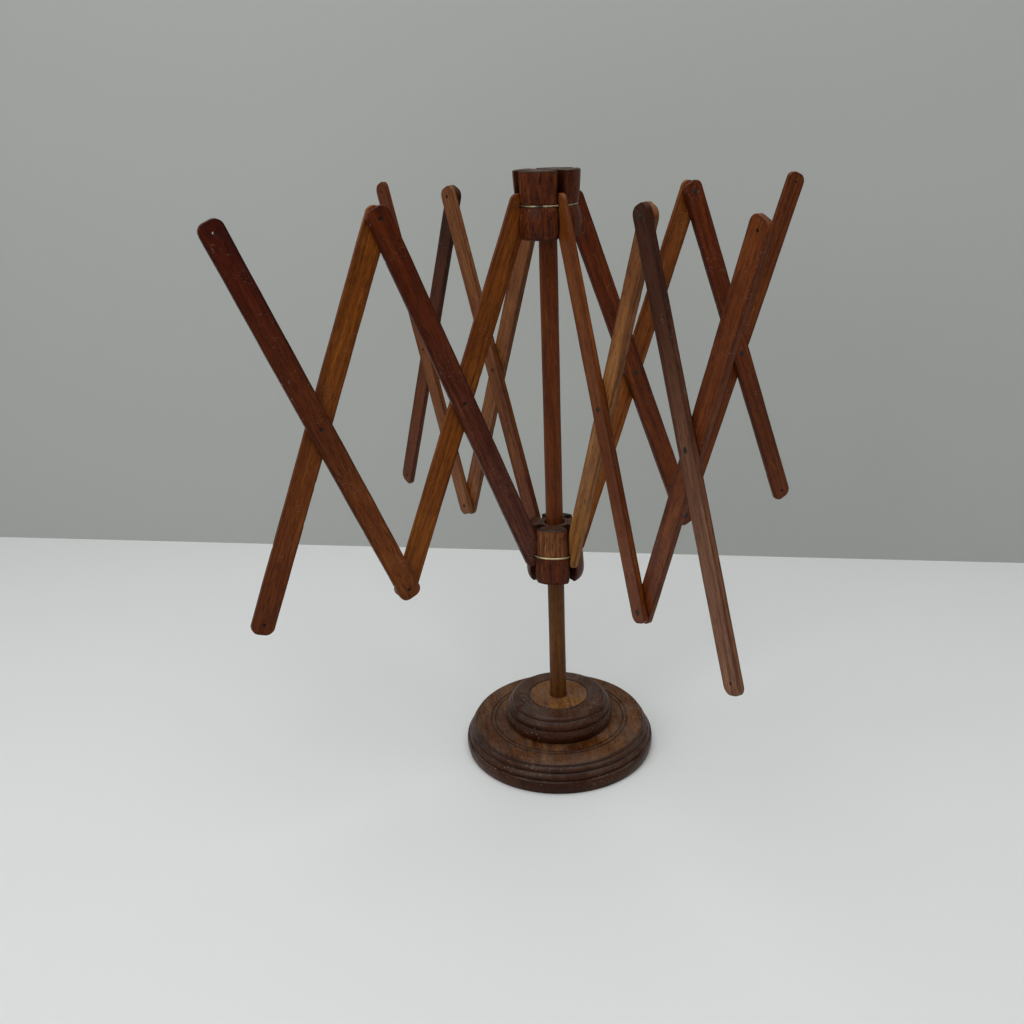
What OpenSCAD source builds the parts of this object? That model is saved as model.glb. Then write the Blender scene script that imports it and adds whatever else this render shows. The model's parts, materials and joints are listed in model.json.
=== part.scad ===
// Table-top drying rack. A turned base carries a round pole. Two slotted hubs sit on the pole: the
// top one turns on the pole's end, the lower one slides. Between them four lazy-tongs arms fold out
// and in, each made of four flat slats that cross in pairs. Millimetres, +Z up. The origin is the
// centre of the base's underside. Arm 1 points along -X, arm 2 along -Y, arm 3 along +X, arm 4 along +Y.

/* [Slats] */
// Distance from one hole of a slat to the next
hole_pitch = 168.5; // [130:0.5:210]
// Wood beyond each end hole
slat_end = 9; // [7.5:0.5:11]
// Width of a slat
slat_w = 20; // [16:0.5:24]
// Thickness of a slat
slat_t = 4.8; // [4:0.1:6]
// Diameter of the spare hole in a slat's free end
spare_hole_d = 2; // [1:0.1:3]
// Gap between the two layers of slats
layer_gap = 0.3; // [0.2:0.1:1]
// Angle between a slat and the vertical as the rack stands
open_angle = 22.3; // [12:0.1:60]

/* [Pins] */
// Diameter of a pin
pin_d = 2.6; // [2:0.1:3.4]
// Diameter of a pin's head
pin_head_d = 5; // [4:0.1:7]
// Height of a pin's head
pin_head_h = 0.8; // [0.5:0.1:1.5]
// How far a pin's tail lies below the face of the slat
pin_tail_sunk = 0.7; // [0.3:0.1:1.5]
// Radial play of a pin in the slat that turns on it
pin_play = 0.05; // [0.02:0.01:0.1]

/* [Wire rings] */
// Radius of a ring, to the middle of its wire
ring_r = 25; // [24:0.5:32]
// Diameter of the wire
wire_d = 2; // [1.5:0.1:2.5]
// Play between the wire and the hub's groove
wire_play = 0.1; // [0.05:0.05:0.3]

/* [Hubs] */
// Height of a hub
hub_h = 55; // [46:1:70]
// Wood that the rings' groove has outside the wire
hub_cover = 0.4; // [0.3:0.1:1.5]
// How far the top hub's upper rim flares beyond its waist
top_rim_flare = 1.9; // [1:0.1:4]
// How far the top hub's lower half swells beyond its waist
top_belly = 2.3; // [1:0.1:4]
// How far the lower hub's lower half swells beyond its waist
low_belly = 0.6; // [0.3:0.1:2]
// How far the lower hub's upper half draws in from its waist
low_neck = 1.7; // [0.5:0.1:2]
// Play between a slat and its slot, beside what the arm's sway takes
slot_play = 0.2; // [0.15:0.05:0.6]
// Play between a slat's end and the bottom of its slot
slot_floor_play = 0.6; // [0.4:0.1:1.5]

/* [Arms] */
// Sway of arm 2 in its slots, in degrees
sway_2 = -5.5; // [-6:0.1:6]
// Sway of arm 4 in its slots, in degrees
sway_4 = 5.5; // [-6:0.1:6]

/* [Pole] */
// Diameter of the pole
pole_d = 16; // [12:0.5:18]
// Height of the top ring above the table
top_ring_z = 521.5; // [460:0.5:640]
// Radial play of the top hub on the pole
top_bore_play = 0.08; // [0.05:0.01:0.1]
// Radial play of the lower hub on the pole
low_bore_play = 1.2; // [0.3:0.1:1.5]
// Wood above the pole's end in the top hub
hub_web = 12; // [8:0.5:16]

/* [Base] */
// Radius of the base at its widest
base_r = 92.5; // [76:0.5:112]
// Height of the lower tier
disc_h = 28; // [22:1:36]
// Radius of the upper tier at its widest
riser_r = 52.5; // [44:0.5:62]
// Height of the base's top above the table
base_h = 53; // [44:1:64]
// Radius of the fine groove round the pole
top_groove_r = 29; // [20:0.5:34]

/* [Screws] */
// Shank diameter of the two wood screws
screw_d = 4; // [3:0.5:4.5]
// Length of the two wood screws
screw_l = 32; // [26:1:40]
// Head diameter of the two wood screws
screw_head_d = 9; // [7:0.5:10]

/* [Hidden] */

$fn = 64;
cut = 1;

// Arms: heading of each arm and its sway about the ring
arm_heading = [180, 270, 0, 90];
arm_sway = [0, sway_2, 0, sway_4];
most_sway = max(abs(sway_2), abs(sway_4));

// Slats. Their tight holes grip the pin and their running holes turn on it.
slat_l = 2 * hole_pitch + 2 * slat_end;
end_flat = 0.5;
end_round = min(0.36 * slat_w, slat_end - end_flat);
tight_d = pin_d;
running_d = pin_d + 2 * pin_play;
layer = (slat_t + layer_gap) / 2;
lean_x = hole_pitch * sin(open_angle);
lean_z = hole_pitch * cos(open_angle);
mid_z = top_ring_z - lean_z;
low_ring_z = top_ring_z - 2 * lean_z;
pivot_r = sqrt(ring_r * ring_r - layer * layer);
// Hole for the wire: the wire slants through the slat, because of the layers and the sway
wire_slant = atan(layer / ring_r) + most_sway;
wire_slack = 0.5;
wire_hole_d = wire_d + slat_t * tan(wire_slant) + 2 * layer * sin(most_sway) + wire_slack;

// Hubs
groove_floor_r = ring_r - wire_d / 2 - wire_play;
groove_w = wire_d + 4 * wire_play;
waist_r = ring_r + wire_d / 2 + hub_cover;
half_hub = hub_h / 2;
slot_reach = norm([slat_w / 2 - end_round, slat_end - end_round]) + end_round + slot_floor_play;
slot_floor_r = pivot_r - slot_reach;
slot_w = slat_t / cos(most_sway) + 2 * slot_reach * sin(most_sway) + 2 * slot_play;
edge_round = 2.5;
rim_round = 1.4;
foot_share = 0.3;
barrel_share = 0.85;
belly_out = 0.1;
cup_swell = 0.2;
foot_in = 4.5;
foot_up = 10;
neck_foot = 0.4;
neck_swell = 0.3;
waist_step = 0.5;

// Pole, from the bottom of its socket to under the hub's web
socket_floor = 8;
pole_top = top_ring_z + half_hub - hub_web;
pole_l = pole_top - socket_floor;
hub_gap = 0.2;

// Screws
screw_head_h = (screw_head_d - screw_d) / 2;
head_sink = 0.6;

// Base: each swelling stands out by its own amount, and a fine quirk parts it from the next
quirk = 0.7;
plinth_h = 0.43 * disc_h;
plinth_in = 1;
plinth_swell = 0.7;
foot_round = 1.6;
bead_h = 0.23 * disc_h;
bead_in = 3;
bead_swell = 1.2;
bead_lean = 1.6;
shoulder_in = 8;
shoulder_lean = 2;
shoulder_swell = 1.4;
shoulder_round = 3;
fine_groove_r = 0.5;
fine_groove_out = [11, 15];
riser_h = base_h - disc_h;
drum_foot_in = 1.4;
drum_top_in = 2.1;
drum_swell = 1.8;
drum_h = 0.49 * riser_h;
ring_foot_in = 2.4;
ring_top_in = 5;
ring_swell = 1.3;
ring_top = 0.81 * riser_h;
crown_in = 6.2;
crown_wide = 4;
top_groove_size = 0.6;

// Points along an oval's rim: centre, half width, half height, first and last angle
function oval(c, rx, rz, from, to, steps = 8) =
    [for (i = [0:steps])
        let (a = from + (to - from) * i / steps)
        [c[0] + rx * cos(a), c[1] + rz * sin(a)]];

// A bulge between two heights: radius is r0 below, r1 above and swells by swell in between
function bulge(r0, r1, z0, z1, swell, steps = 10) =
    [for (i = [0:steps])
        let (u = i / steps)
        [r0 + (r1 - r0) * u + swell * sin(180 * u), z0 + (z1 - z0) * u]];

// Puts what follows on an arm: the origin is on the ring's pivot line, +X runs out along the arm
module on_arm(i) {
    rotate([0, 0, arm_heading[i - 1]])
        translate([pivot_r, 0, 0])
            rotate([0, 0, arm_sway[i - 1]])
                children();
}

// Outline of a slat with rounded corners, its length along Y
module slat_outline() {
    square([slat_w, slat_l - 2 * end_round], center = true);
    square([slat_w - 2 * end_round, slat_l], center = true);
    for (x = [-1, 1])
        for (y = [-1, 1])
            translate([x * (slat_w / 2 - end_round), y * (slat_l / 2 - end_round)])
                circle(r = end_round);
}

// One slat, upright, with its middle hole at the origin. Each hole has its own diameter.
module slat(top_hole_d, middle_hole_d, low_hole_d) {
    holes = [top_hole_d, middle_hole_d, low_hole_d];
    difference() {
        rotate([90, 0, 0])
            linear_extrude(height = slat_t, center = true)
                slat_outline();
        for (k = [0:2])
            translate([0, 0, hole_pitch * (1 - k)])
                rotate([90, 0, 0])
                    cylinder(d = holes[k], h = slat_t + 2 * cut, center = true);
    }
}

// Slat from the top ring down and out to the bottom joint
module inner_down(i) {
    color("saddlebrown")
        on_arm(i)
            translate([lean_x, -layer, mid_z])
                rotate([0, -open_angle, 0])
                    slat(wire_hole_d, tight_d, tight_d);
}

// Slat from the lower ring up and out to the top joint
module inner_up(i) {
    color("sienna")
        on_arm(i)
            translate([lean_x, layer, mid_z])
                rotate([0, open_angle, 0])
                    slat(running_d, running_d, wire_hole_d);
}

// Slat from the bottom joint up and out to the free top end
module outer_up(i) {
    color("sienna")
        on_arm(i)
            translate([3 * lean_x, layer, mid_z])
                rotate([0, open_angle, 0])
                    slat(spare_hole_d, running_d, running_d);
}

// Slat from the top joint down and out to the free bottom end
module outer_down(i) {
    color("saddlebrown")
        on_arm(i)
            translate([3 * lean_x, -layer, mid_z])
                rotate([0, -open_angle, 0])
                    slat(tight_d, tight_d, spare_hole_d);
}

// A pin through both layers: head on the clockwise face, tail sunk in the other
module pin(i, out, height) {
    pin_l = 2 * slat_t + layer_gap - pin_tail_sunk;
    head_y = -(slat_t + layer_gap / 2);
    color("dimgray")
        on_arm(i)
            translate([out, head_y, height])
                rotate([-90, 0, 0]) {
                    cylinder(d = pin_d, h = pin_l);
                    translate([0, 0, -pin_head_h])
                        cylinder(d1 = 0.7 * pin_head_d, d2 = pin_head_d, h = pin_head_h);
                }
}

module inner_cross_pin(i) {
    pin(i, lean_x, mid_z);
}

module outer_cross_pin(i) {
    pin(i, 3 * lean_x, mid_z);
}

module top_joint_pin(i) {
    pin(i, 2 * lean_x, top_ring_z);
}

module bottom_joint_pin(i) {
    pin(i, 2 * lean_x, low_ring_z);
}

// A wire ring about the pole
module wire_ring(z) {
    translate([0, 0, z])
        rotate_extrude()
            translate([ring_r, 0])
                circle(d = wire_d, $fn = 24);
}

module top_ring() {
    color("darkkhaki")
        wire_ring(top_ring_z);
}

module lower_ring() {
    color("darkkhaki")
        wire_ring(low_ring_z);
}

// Groove for a wire ring and the four slots for the slats, with side = -1 or 1 for the layer they hold
module hub_cuts(side) {
    rotate_extrude()
        translate([groove_floor_r, -groove_w / 2])
            square([waist_r - groove_floor_r + cut, groove_w]);
    for (heading = arm_heading)
        rotate([0, 0, heading])
            translate([slot_floor_r, side * layer - slot_w / 2, -hub_h])
                cube([2 * ring_r, slot_w, 2 * hub_h]);
}

// Outline of the top hub: a flared cup over a barrel with a rounded foot
module top_hub_outline() {
    foot_r = waist_r + foot_share * top_belly;
    rim_r = waist_r + top_rim_flare;
    polygon(concat(
        [[0, -half_hub]],
        oval([foot_r - edge_round, -half_hub + edge_round], edge_round, edge_round, -90, 0),
        bulge(foot_r, waist_r, -half_hub + edge_round, -groove_w / 2, barrel_share * top_belly),
        bulge(waist_r, rim_r, groove_w / 2, half_hub - rim_round, cup_swell),
        oval([rim_r - rim_round, half_hub - rim_round], rim_round, rim_round, 0, 90),
        [[0, half_hub]]
    ));
}

// Outline of the lower hub: a drawn-in neck over a swelling foot that is drawn in again underneath
module lower_hub_outline() {
    belly_r = waist_r + low_belly - belly_out;
    neck_r = waist_r - low_neck;
    polygon(concat(
        [[0, -half_hub]],
        oval([belly_r - foot_in, -half_hub + foot_up], foot_in, foot_up, -90, 0),
        bulge(belly_r, waist_r - waist_step, -half_hub + foot_up, -groove_w / 2, belly_out),
        bulge(neck_r + neck_foot, neck_r, groove_w / 2, half_hub - edge_round, neck_swell),
        oval([neck_r - edge_round, half_hub - edge_round], edge_round, edge_round, 0, 90),
        [[0, half_hub]]
    ));
}

module top_hub() {
    color("saddlebrown")
        translate([0, 0, top_ring_z])
            difference() {
                rotate_extrude()
                    top_hub_outline();
                hub_cuts(-1);
                translate([0, 0, -half_hub - cut])
                    cylinder(r = pole_d / 2 + top_bore_play, h = hub_h + cut - hub_web + hub_gap);
                cylinder(r = screw_d / 2 + pin_play, h = hub_h);
                translate([0, 0, half_hub - head_sink - screw_head_h - hub_gap])
                    cylinder(
                        d1 = screw_d + 2 * pin_play,
                        d2 = screw_head_d + 2 * hub_gap,
                        h = screw_head_h + hub_gap
                    );
                translate([0, 0, half_hub - head_sink])
                    cylinder(d = screw_head_d + 2 * hub_gap, h = head_sink + cut);
            }
}

module lower_hub() {
    color("saddlebrown")
        translate([0, 0, low_ring_z])
            difference() {
                rotate_extrude()
                    lower_hub_outline();
                hub_cuts(1);
                cylinder(r = pole_d / 2 + low_bore_play, h = hub_h + 2 * cut, center = true);
            }
}

// The pole, with pilot holes for the two screws
module pole() {
    color("sienna")
        difference() {
            translate([0, 0, socket_floor])
                cylinder(d = pole_d, h = pole_l);
            translate([0, 0, socket_floor - cut])
                cylinder(d = screw_d, h = screw_l);
            translate([0, 0, pole_top - screw_l])
                cylinder(d = screw_d, h = screw_l + cut);
        }
}

// A countersunk wood screw, head up, its head's top at the origin
module wood_screw() {
    translate([0, 0, -screw_head_h])
        cylinder(d1 = screw_d, d2 = screw_head_d, h = screw_head_h);
    translate([0, 0, -screw_l])
        cylinder(d = screw_d, h = screw_l - screw_head_h);
}

module hub_screw() {
    color("dimgray")
        translate([0, 0, top_ring_z + half_hub - head_sink])
            wood_screw();
}

module pole_screw() {
    color("dimgray")
        translate([0, 0, head_sink])
            mirror([0, 0, 1])
                wood_screw();
}

// Half the section of the lower tier: a plinth, a bead, a shoulder and a flat top
module disc_section() {
    plinth_r = base_r - plinth_in;
    bead_r = base_r - bead_in;
    shoulder_r = base_r - shoulder_in;
    bead_z = plinth_h + quirk;
    shoulder_z = plinth_h + bead_h + quirk;
    crown_z = disc_h - shoulder_round;
    polygon(concat(
        [[0, 0]],
        oval([plinth_r - foot_round, foot_round], foot_round, foot_round, -90, 0, 4),
        bulge(plinth_r, plinth_r + 0.4 * plinth_in, foot_round, plinth_h, plinth_swell, 6),
        [[bead_r, bead_z]],
        bulge(bead_r, bead_r - bead_lean, bead_z, plinth_h + bead_h, bead_swell),
        [[shoulder_r + shoulder_lean, shoulder_z]],
        bulge(shoulder_r + shoulder_lean, shoulder_r, shoulder_z, plinth_h + 2 * bead_h, shoulder_swell),
        oval([shoulder_r - shoulder_round, crown_z], shoulder_round, shoulder_round, 0, 90, 6),
        [[0, disc_h]]
    ));
}

// The wide lower tier, with the pole's socket, the screw's hole and two fine grooves in its top
module base_disc() {
    color("saddlebrown")
        difference() {
            rotate_extrude()
                difference() {
                    disc_section();
                    for (out = fine_groove_out)
                        translate([riser_r + out, disc_h])
                            circle(r = fine_groove_r, $fn = 16);
                }
            translate([0, 0, socket_floor])
                cylinder(d = pole_d, h = disc_h);
            translate([0, 0, -cut])
                cylinder(d = screw_d, h = disc_h);
            translate([0, 0, head_sink])
                cylinder(d1 = screw_head_d, d2 = screw_d, h = screw_head_h);
            translate([0, 0, -cut])
                cylinder(d = screw_head_d, h = head_sink + cut);
        }
}

// Half the section of the upper tier: a swelling drum, a narrower ring and a rounded crown
module riser_section() {
    crown_r = riser_r - crown_in;
    crown_foot = ring_top + quirk;
    polygon(concat(
        [[0, 0]],
        bulge(riser_r - drum_foot_in, riser_r - drum_top_in, 0, drum_h, drum_swell),
        bulge(riser_r - ring_foot_in, riser_r - ring_top_in, drum_h + quirk, ring_top, ring_swell),
        oval([crown_r - crown_wide, crown_foot], crown_wide, riser_h - crown_foot, 0, 90),
        [[0, riser_h]]
    ));
}

// The smaller upper tier, bored for the pole, with a fine groove in its top
module base_riser() {
    color("saddlebrown")
        translate([0, 0, disc_h])
            difference() {
                rotate_extrude()
                    difference() {
                        riser_section();
                        translate([top_groove_r, riser_h])
                            circle(r = top_groove_size, $fn = 16);
                    }
                translate([0, 0, -cut])
                    cylinder(d = pole_d, h = riser_h + 2 * cut);
            }
}

base_disc();
base_riser();
pole();
pole_screw();
hub_screw();
top_hub();
top_ring();
lower_hub();
lower_ring();
inner_down(1);  // inner_down_1
inner_up(1);  // inner_up_1
outer_up(1);  // outer_up_1
outer_down(1);  // outer_down_1
inner_down(2);  // inner_down_2
inner_up(2);  // inner_up_2
outer_up(2);  // outer_up_2
outer_down(2);  // outer_down_2
inner_down(3);  // inner_down_3
inner_up(3);  // inner_up_3
outer_up(3);  // outer_up_3
outer_down(3);  // outer_down_3
inner_down(4);  // inner_down_4
inner_up(4);  // inner_up_4
outer_up(4);  // outer_up_4
outer_down(4);  // outer_down_4
inner_cross_pin(1);  // inner_cross_pin_1
outer_cross_pin(1);  // outer_cross_pin_1
top_joint_pin(1);  // top_joint_pin_1
bottom_joint_pin(1);  // bottom_joint_pin_1
inner_cross_pin(2);  // inner_cross_pin_2
outer_cross_pin(2);  // outer_cross_pin_2
top_joint_pin(2);  // top_joint_pin_2
bottom_joint_pin(2);  // bottom_joint_pin_2
inner_cross_pin(3);  // inner_cross_pin_3
outer_cross_pin(3);  // outer_cross_pin_3
top_joint_pin(3);  // top_joint_pin_3
bottom_joint_pin(3);  // bottom_joint_pin_3
inner_cross_pin(4);  // inner_cross_pin_4
outer_cross_pin(4);  // outer_cross_pin_4
top_joint_pin(4);  // top_joint_pin_4
bottom_joint_pin(4);  // bottom_joint_pin_4
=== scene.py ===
"""A table-top drying rack in stained hardwood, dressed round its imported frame.

Sixteen slats make four lazy-tongs arms between two slotted hubs. The top hub turns on the end of a
round pole, the lower hub slides, and the pole stands in a turned base. The joints, the slats' sizes
and the pole's ends come from the frame, and the other sizes repeat those of the CAD. Lengths are
metres, and angles are degrees unless a name says otherwise.
"""

import json
import logging
import math
from dataclasses import dataclass, field
from enum import Enum
from functools import cache
from typing import Any, Iterable

import bmesh
import bpy
import numpy as np
from mathutils import Matrix, Vector


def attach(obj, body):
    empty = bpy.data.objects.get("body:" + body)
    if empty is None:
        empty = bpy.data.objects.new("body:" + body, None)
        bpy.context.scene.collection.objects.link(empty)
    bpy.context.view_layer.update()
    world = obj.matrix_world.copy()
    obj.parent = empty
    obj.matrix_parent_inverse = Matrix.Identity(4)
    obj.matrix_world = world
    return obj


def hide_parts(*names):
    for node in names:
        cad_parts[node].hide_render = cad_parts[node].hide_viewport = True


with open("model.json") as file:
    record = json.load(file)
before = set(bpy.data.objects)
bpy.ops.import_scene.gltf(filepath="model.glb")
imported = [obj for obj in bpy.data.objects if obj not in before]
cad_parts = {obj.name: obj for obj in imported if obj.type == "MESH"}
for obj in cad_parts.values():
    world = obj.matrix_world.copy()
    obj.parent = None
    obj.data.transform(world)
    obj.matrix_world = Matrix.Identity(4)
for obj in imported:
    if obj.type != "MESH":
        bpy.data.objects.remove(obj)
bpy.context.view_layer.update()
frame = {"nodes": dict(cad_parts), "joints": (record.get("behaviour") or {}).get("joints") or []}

Array = np.ndarray
Pair = tuple[float, float]
Triple = tuple[float, float, float]
Colour = Triple
log = logging.getLogger("drying_rack")
MM = 0.001
UP = np.array([0.0, 0.0, 1.0])
JOINTS = {joint["name"]: joint for joint in frame["joints"]}


# ---------------------------------------------------------------- places and curves


@dataclass(frozen=True)
class Axes:
    """A place to build in: an origin and three unit axes.

    Attributes:
        origin: where the local zero lies.
        across: direction of the first local coordinate.
        through: direction of the second.
        along: direction of the third.
    """

    origin: Array
    across: Array
    through: Array
    along: Array

    def matrix(self) -> Array:
        """The three axes as the rows of a matrix."""
        return np.stack([self.across, self.through, self.along])

    def world(self, local: Array) -> Array:
        """Local points in the frame's coordinates."""
        return self.origin + local @ self.matrix()

    def reach(self, node: str) -> tuple[Array, Array]:
        """How far a CAD node reaches along each axis.

        Args:
            node: the node's name.

        Returns:
            Its lowest and its highest local coordinates.
        """
        mesh = frame["nodes"][node].data
        points = np.empty(len(mesh.vertices) * 3)
        mesh.vertices.foreach_get("co", points)
        local = (points.reshape(-1, 3) - self.origin) @ self.matrix().T
        return local.min(0), local.max(0)


def upright(height: float) -> Axes:
    """Axes on the pole's centre line at a height, along the frame's own."""
    return Axes(np.array([0.0, 0.0, height]), *np.eye(3))


def joint_place(name: str) -> Array:
    """Where a joint's axis passes."""
    return np.array(JOINTS[name]["pos_m"], float)


def oval(centre: Pair, radii: Pair, start: float, end: float, steps: int) -> Array:
    """Points on an oval: centre plus the radii times the cosine and sine of an even run of angles.

    Args:
        centre: radius and height of the oval's middle.
        radii: half its width and half its height.
        start: first angle, from straight out.
        end: last angle.
        steps: number of spans.

    Returns:
        A row of radius and height for each point.
    """
    angle = np.radians(np.linspace(start, end, steps + 1))
    return np.array(centre) + np.stack([np.cos(angle), np.sin(angle)], 1) * np.array(radii)


def bulge(low: Pair, high: Pair, swell: float, steps: int) -> Array:
    """Points on a swelling line: a straight run plus half a sine wave in radius.

    Args:
        low: radius and height at the start.
        high: radius and height at the end.
        swell: most that the line stands out, or in if negative.
        steps: number of spans.

    Returns:
        A row of radius and height for each point.
    """
    share = np.linspace(0, 1, steps + 1)[:, None]
    line = np.array(low) + (np.array(high) - np.array(low)) * share
    line[:, :1] += swell * np.sin(np.pi * share)
    return line


def turned(profile: Array, angles: Array) -> Array:
    """Carries a profile of radius and height round the local third axis.

    Args:
        profile: a row of radius and height for each point.
        angles: the angles to stop at, in radians.

    Returns:
        Points by profile row and angle: radius times cosine and sine of the angle, and height.
    """
    radius = profile[:, :1]
    height = np.repeat(profile[:, 1:], len(angles), 1)
    return np.stack([radius * np.cos(angles), radius * np.sin(angles), height], -1)


def full_circle(steps: int) -> Array:
    """Even angles round a circle in radians, without the last, which is the first again."""
    return np.linspace(0, 2 * np.pi, steps, endpoint=False)


# ---------------------------------------------------------------- skins


class Skin:
    """Gathers grids of points into one closed surface, with the values that its finish reads.

    Each point carries its place in the wood (third coordinate along the grain), its stain, how
    near it is to an arris, and how deep it lies in a recess.
    """

    def __init__(self, axes: Axes, grain: Array | None = None, shift: Array | None = None) -> None:
        """Starts an empty skin.

        Args:
            axes: the place that local points are given in.
            grain: rows that turn local coordinates into wood coordinates, if they differ.
            shift: offset of the wood coordinates, so that no two pieces share a pattern.
        """
        self.axes = axes
        self.grain = np.eye(3) if grain is None else grain
        self.shift = np.zeros(3) if shift is None else shift
        self.points: list[Array] = []
        self.faces: list[Array] = []
        self.values: dict[str, list[Array]] = {"arris": [], "recess": [], "stain": []}
        self.count = 0

    def grid(
        self,
        points: Array,
        closed: bool = False,
        arris: Array | float = 0.0,
        recess: Array | float = 0.0,
        stain: Array | Colour = (1.0, 1.0, 1.0),
    ) -> None:
        """Adds a grid of local points, and a face between each four neighbours.

        Args:
            points: rows by columns by three.
            closed: joins the last column to the first.
            arris: nearness to an edge, from 0 to 1, for each point or for all.
            recess: depth in a groove or hole, from 0 to 1, for each point or for all; the wood finish
                paints it as shade.
            stain: linear colour, for each point or for all.
        """
        rows, columns = points.shape[:2]
        index = np.arange(rows * columns).reshape(rows, columns) + self.count
        if closed:
            index = np.concatenate([index, index[:, :1]], 1)
        quads = np.stack([index[:-1, :-1], index[:-1, 1:], index[1:, 1:], index[1:, :-1]], -1)
        self.points.append(points.reshape(-1, 3))
        self.faces.append(quads.reshape(-1, 4))
        self.values["arris"].append(np.broadcast_to(arris, (rows, columns)).ravel())
        self.values["recess"].append(np.broadcast_to(recess, (rows, columns)).ravel())
        self.values["stain"].append(np.broadcast_to(stain, (rows, columns, 3)).reshape(-1, 3))
        self.count += rows * columns

    def build(self, name: str, smooth_below: float = 42.0) -> bpy.types.Object:
        """Welds the grids' shared borders and makes the object.

        Args:
            name: the piece's name.
            smooth_below: faces that meet at less than this angle are shaded as one.

        Returns:
            The object, at the origin, with its place in its mesh.
        """
        local = np.concatenate(self.points)
        mesh = bpy.data.meshes.new(name)
        mesh.from_pydata(self.axes.world(local), [], np.concatenate(self.faces).tolist())
        wood = local @ self.grain.T + self.shift
        stain = np.concatenate(self.values["stain"])
        self._attribute(mesh, "wood_place", "FLOAT_VECTOR", "vector", wood)
        self._attribute(mesh, "stain", "FLOAT_COLOR", "color", np.insert(stain, 3, 1.0, 1))
        self._attribute(mesh, "arris", "FLOAT", "value", np.concatenate(self.values["arris"]))
        self._attribute(mesh, "recess", "FLOAT", "value", np.concatenate(self.values["recess"]))
        welded = bmesh.new()
        welded.from_mesh(mesh)
        bmesh.ops.remove_doubles(welded, verts=welded.verts, dist=2e-6)
        bmesh.ops.recalc_face_normals(welded, faces=welded.faces)
        welded.to_mesh(mesh)
        welded.free()
        mesh.shade_smooth()
        mesh.set_sharp_from_angle(angle=math.radians(smooth_below))
        piece = bpy.data.objects.new(name, mesh)
        bpy.context.scene.collection.objects.link(piece)
        return piece

    @staticmethod
    def _attribute(mesh: bpy.types.Mesh, name: str, kind: str, key: str, values: Array) -> None:
        """Writes one value for each point of the mesh."""
        layer = mesh.attributes.new(name, kind, "POINT")
        layer.data.foreach_set(key, np.ascontiguousarray(values, np.float32).ravel())


# ---------------------------------------------------------------- finishes


def linear(red: float, green: float, blue: float) -> Colour:
    """A screen colour, each part from 0 to 255, as linear light."""
    share = np.array([red, green, blue]) / 255
    return tuple(np.where(share > 0.04045, ((share + 0.055) / 1.055) ** 2.4, share / 12.92).tolist())


class Stain(Enum):
    """The shades that the stained wood takes from board to board."""

    OXBLOOD = linear(74, 21, 4)
    MAHOGANY = linear(93, 36, 6)
    ROSEWOOD = linear(88, 37, 7)
    CHESTNUT = linear(118, 62, 20)
    RUSSET = linear(102, 48, 14)
    AMBER = linear(128, 68, 12)
    HONEY = linear(156, 106, 56)
    FAWN = linear(126, 84, 60)
    UMBER = linear(126, 77, 42)
    DUN = linear(92, 54, 21)
    WALNUT = linear(68, 36, 17)
    OCHRE = linear(116, 72, 24)
    PLUM = linear(64, 30, 14)
    EBONY = linear(90, 50, 38)


# Painted shade: near-black laid into grooves, quirks, slots and holes by their depth.
RECESS_SHADE = (0.008, 0.004, 0.003)
BARE_WOOD = linear(150, 98, 66)
# Pale grey on faces that look up: settled dust and a painted sheen.
DUST_FILM_AND_SHEEN = linear(150, 138, 126)
DUST_SPECK = linear(190, 176, 156)
WOOD_SCRATCH = linear(172, 140, 116)
METAL_SCRATCH = (0.7, 0.68, 0.64)


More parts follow.
